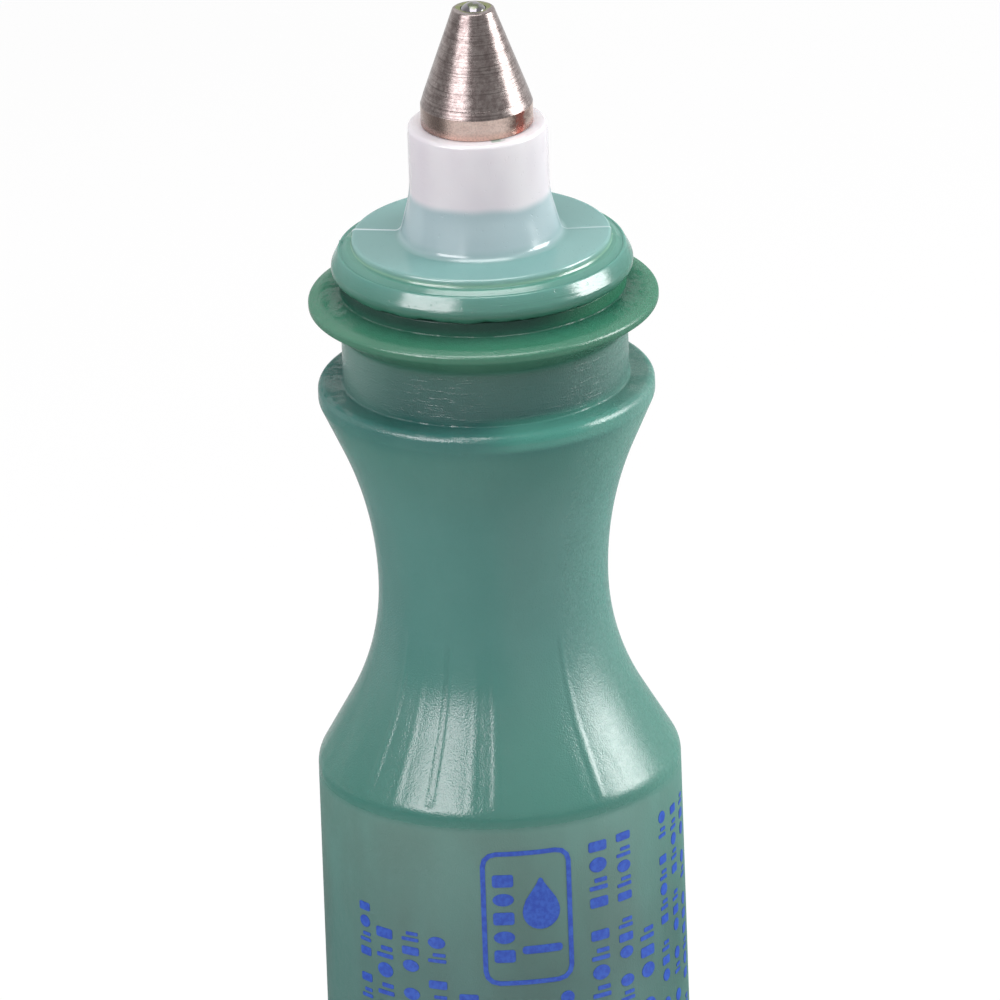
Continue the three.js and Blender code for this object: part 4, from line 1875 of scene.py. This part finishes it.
@dataclass(frozen=True)
class PhotoView:
    """The camera that sees the marker as the photograph does. Pixels are of its 1000 by 1000."""

    elevation: float = 21.86
    roll: float = 2.046
    distance: float = 2000.0
    pixels_per_mm: float = 14.035
    axis_height: float = 111.9
    axis_pixel: Point = (490.8, 503.2)
    frame: float = 1000.0
    sensor: float = 36.0
    clip: Span = (0.1, 20.0)

    def build(self) -> None:
        """Adds the camera and makes it the scene's."""
        tilt, turn = math.radians(self.elevation), math.radians(self.roll)
        upright = Vector((0, math.sin(tilt), math.cos(tilt)))
        across = Vector((1, 0, 0))
        right = across * math.cos(turn) - upright * math.sin(turn)
        up = upright * math.cos(turn) + across * math.sin(turn)
        back = right.cross(up)
        offset_right = (self.frame / 2 - self.axis_pixel[0]) / self.pixels_per_mm
        offset_up = (self.axis_pixel[1] - self.frame / 2) / self.pixels_per_mm
        aim = Vector((0, 0, self.axis_height)) + right * offset_right + up * offset_up
        camera = bpy.data.objects.new("photo_view", bpy.data.cameras.new("photo_view"))
        bpy.context.scene.collection.objects.link(camera)
        turned = Matrix((right, up, back)).transposed().to_4x4()
        camera.matrix_world = Matrix.Translation((aim + back * self.distance) * MM) @ turned
        camera.data.sensor_width = self.sensor
        camera.data.lens = self.sensor * self.distance * self.pixels_per_mm / self.frame
        camera.data.clip_start, camera.data.clip_end = self.clip
        bpy.context.scene.camera = camera


@dataclass(frozen=True)
class Softbox:
    """A soft lamp that is aimed at the marker. Angles are degrees, and sizes are metres."""

    name: str
    azimuth: float
    elevation: float
    distance: float
    width: float
    height: float
    power: float
    colour: Triple = (1.0, 1.0, 1.0)
    aim_height: float = 0.11

    def build(self) -> None:
        """Adds the lamp."""
        a, e = math.radians(self.azimuth), math.radians(self.elevation)
        way = Vector((math.sin(a) * math.cos(e), -math.cos(a) * math.cos(e), math.sin(e)))
        lamp = bpy.data.objects.new(self.name, bpy.data.lights.new(self.name, "AREA"))
        bpy.context.scene.collection.objects.link(lamp)
        lamp.data.shape = "RECTANGLE"
        lamp.data.size = self.width
        lamp.data.size_y = self.height
        lamp.data.energy = self.power
        lamp.data.color = self.colour
        lamp.location = Vector((0, 0, self.aim_height)) + way * self.distance
        lamp.rotation_mode = "QUATERNION"
        lamp.rotation_quaternion = way.to_track_quat("Z", "Y")


class Studio:
    """A plain pale floor, a white surround and soft lamps."""

    FLOOR_HALF = 6.0
    FLOOR_TONES = ((226, 226, 226), (232, 232, 232))
    FLOOR_WHITE = 1.08
    FLOOR_BEFORE = 0.12
    FLOOR_FADE = (20.0, 420.0)
    FLOOR_GLOW = 0.78
    SOFT_LIGHT = 0.2
    MIRRORED_LIGHT = 0.46
    MIRRORED_FADE = (0.15, 0.8)
    LAMPS = (
        Softbox("left_softbox", -45.0, 27.0, 0.7, 0.5, 0.36, 2.55, (1.0, 0.95, 0.98)),
        Softbox("right_softbox", 94.0, 21.0, 0.7, 0.4, 0.4, 4.0),
        Softbox("top_fill", 0.0, 80.0, 1.0, 0.8, 0.8, 6.0),
    )

    def floor(self) -> None:
        """Adds the floor: nearly white to the camera, and dim in mirrors before the marker."""
        bpy.ops.object.select_all(action="DESELECT")
        bpy.ops.mesh.primitive_plane_add(size=2 * self.FLOOR_HALF)
        floor = start_piece("floor")
        p = Palette("floor_paper")
        p.link(p.mix(p.noise((0.02, 0.02, 0.02)), *self.FLOOR_TONES), p.shader.inputs["Base Color"])
        p.set(Roughness=0.9)
        glow = p.tree.nodes.new("ShaderNodeEmission")
        path = p.tree.nodes.new("ShaderNodeLightPath")
        split = p.tree.nodes.new("ShaderNodeSeparateXYZ")
        p.link(p.mapped((1.0, 1.0, 1.0)), split.inputs[0])
        behind = p.between(split.outputs["Y"], *self.FLOOR_FADE, (self.FLOOR_BEFORE, self.FLOOR_WHITE))
        direct = p.times(path.outputs["Is Camera Ray"], self.FLOOR_WHITE)
        p.link(p.larger(behind, direct), glow.inputs["Strength"])
        seen = p.larger(path.outputs["Is Camera Ray"], path.outputs["Is Glossy Ray"])
        seen = p.larger(seen, path.outputs["Is Transmission Ray"])
        mixed = p.tree.nodes.new("ShaderNodeMixShader")
        p.link(p.times(seen, self.FLOOR_GLOW), mixed.inputs[0])
        p.link(p.shader.outputs[0], mixed.inputs[1])
        p.link(glow.outputs[0], mixed.inputs[2])
        p.link(mixed.outputs[0], p.output.inputs["Surface"])
        dress(floor, p.material)

    def surround(self) -> None:
        """Makes the world: white to the camera, and to metal and glass where it lies behind the marker."""
        world = bpy.data.worlds.new("surround")
        bpy.context.scene.world = world
        world.use_nodes = True
        tree = world.node_tree
        background = tree.nodes["Background"]
        background.inputs["Color"].default_value = (1, 1, 1, 1)
        path = tree.nodes.new("ShaderNodeLightPath")
        way = tree.nodes.new("ShaderNodeSeparateXYZ")
        tree.links.new(tree.nodes.new("ShaderNodeTexCoord").outputs["Generated"], way.inputs[0])
        behind = tree.nodes.new("ShaderNodeMapRange")
        behind.interpolation_type = "SMOOTHSTEP"
        low, high = self.MIRRORED_FADE
        least = (self.MIRRORED_LIGHT - self.SOFT_LIGHT) / (1 - self.SOFT_LIGHT)
        for key, number in (("From Min", low), ("From Max", high), ("To Min", least)):
            behind.inputs[key].default_value = number
        tree.links.new(way.outputs["Y"], behind.inputs["Value"])

        def joined(operation: str, first: Socket, second: Socket) -> Socket:
            """One sum of two sockets.

            Args:
                operation: The math node's operation.
                first: The first value.
                second: The second value.

            Returns:
                The result's socket.
            """
            node = tree.nodes.new("ShaderNodeMath")
            node.operation = operation
            tree.links.new(first, node.inputs[0])
            tree.links.new(second, node.inputs[1])
            return node.outputs[0]

        mirrored = joined("MAXIMUM", path.outputs["Is Glossy Ray"], path.outputs["Is Transmission Ray"])
        mirrored = joined("MULTIPLY", mirrored, behind.outputs[0])
        seen = joined("MAXIMUM", mirrored, path.outputs["Is Camera Ray"])
        strength = tree.nodes.new("ShaderNodeMapRange")
        strength.inputs["To Min"].default_value = self.SOFT_LIGHT
        strength.inputs["To Max"].default_value = 1.0
        tree.links.new(seen, strength.inputs["Value"])
        tree.links.new(strength.outputs[0], background.inputs["Strength"])

    def build(self) -> None:
        """Adds the floor, the surround and the lamps, and sets plain colours."""
        self.floor()
        self.surround()
        for lamp in self.LAMPS:
            lamp.build()
        bpy.context.scene.view_settings.view_transform = "Standard"


def report(*pieces: Piece) -> None:
    """Logs each finished piece with its count of faces."""
    for piece in pieces:
        LOG.info("%s: %d faces", piece.name, len(piece.data.polygons))


def main() -> None:
    """Builds the marker and its studio in order."""
    logging.basicConfig(level=logging.INFO, format="%(name)s: %(message)s")
    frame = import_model()
    PhotoView().build()
    bottle = SqueezeBottle()
    shell = bottle.build()
    bottle.dress(shell)
    report(shell)
    body_print = BodyPrint(shell, bottle.body_radius)
    sheets = body_print.build()
    body_print.dress(sheets)
    report(*sheets)
    plug = NozzlePlug(bottle.neck_top, bottle.neck_radius - bottle.neck_wall)
    moulding = plug.build()
    plug.dress(moulding)
    report(moulding)
    tip = SteelTip(plug.stem_top)
    turned = tip.build()
    tip.dress(turned)
    report(*turned)
    for inner in (ValveSpring(), MixingBall()):
        piece = inner.build()
        inner.dress(piece)
        report(piece)
    joints = {joint["name"]: joint for joint in frame["joints"]}
    fill = PaintFill(joints["mixing_ball_travel"]["range_m"][1] / MM)
    paint = fill.build(frame["nodes"]["paint_charge"])
    fill.dress(paint)
    report(paint)
    InnerPieces().dress(frame["nodes"])
    Studio().build()


if __name__ == "__main__":
    main()
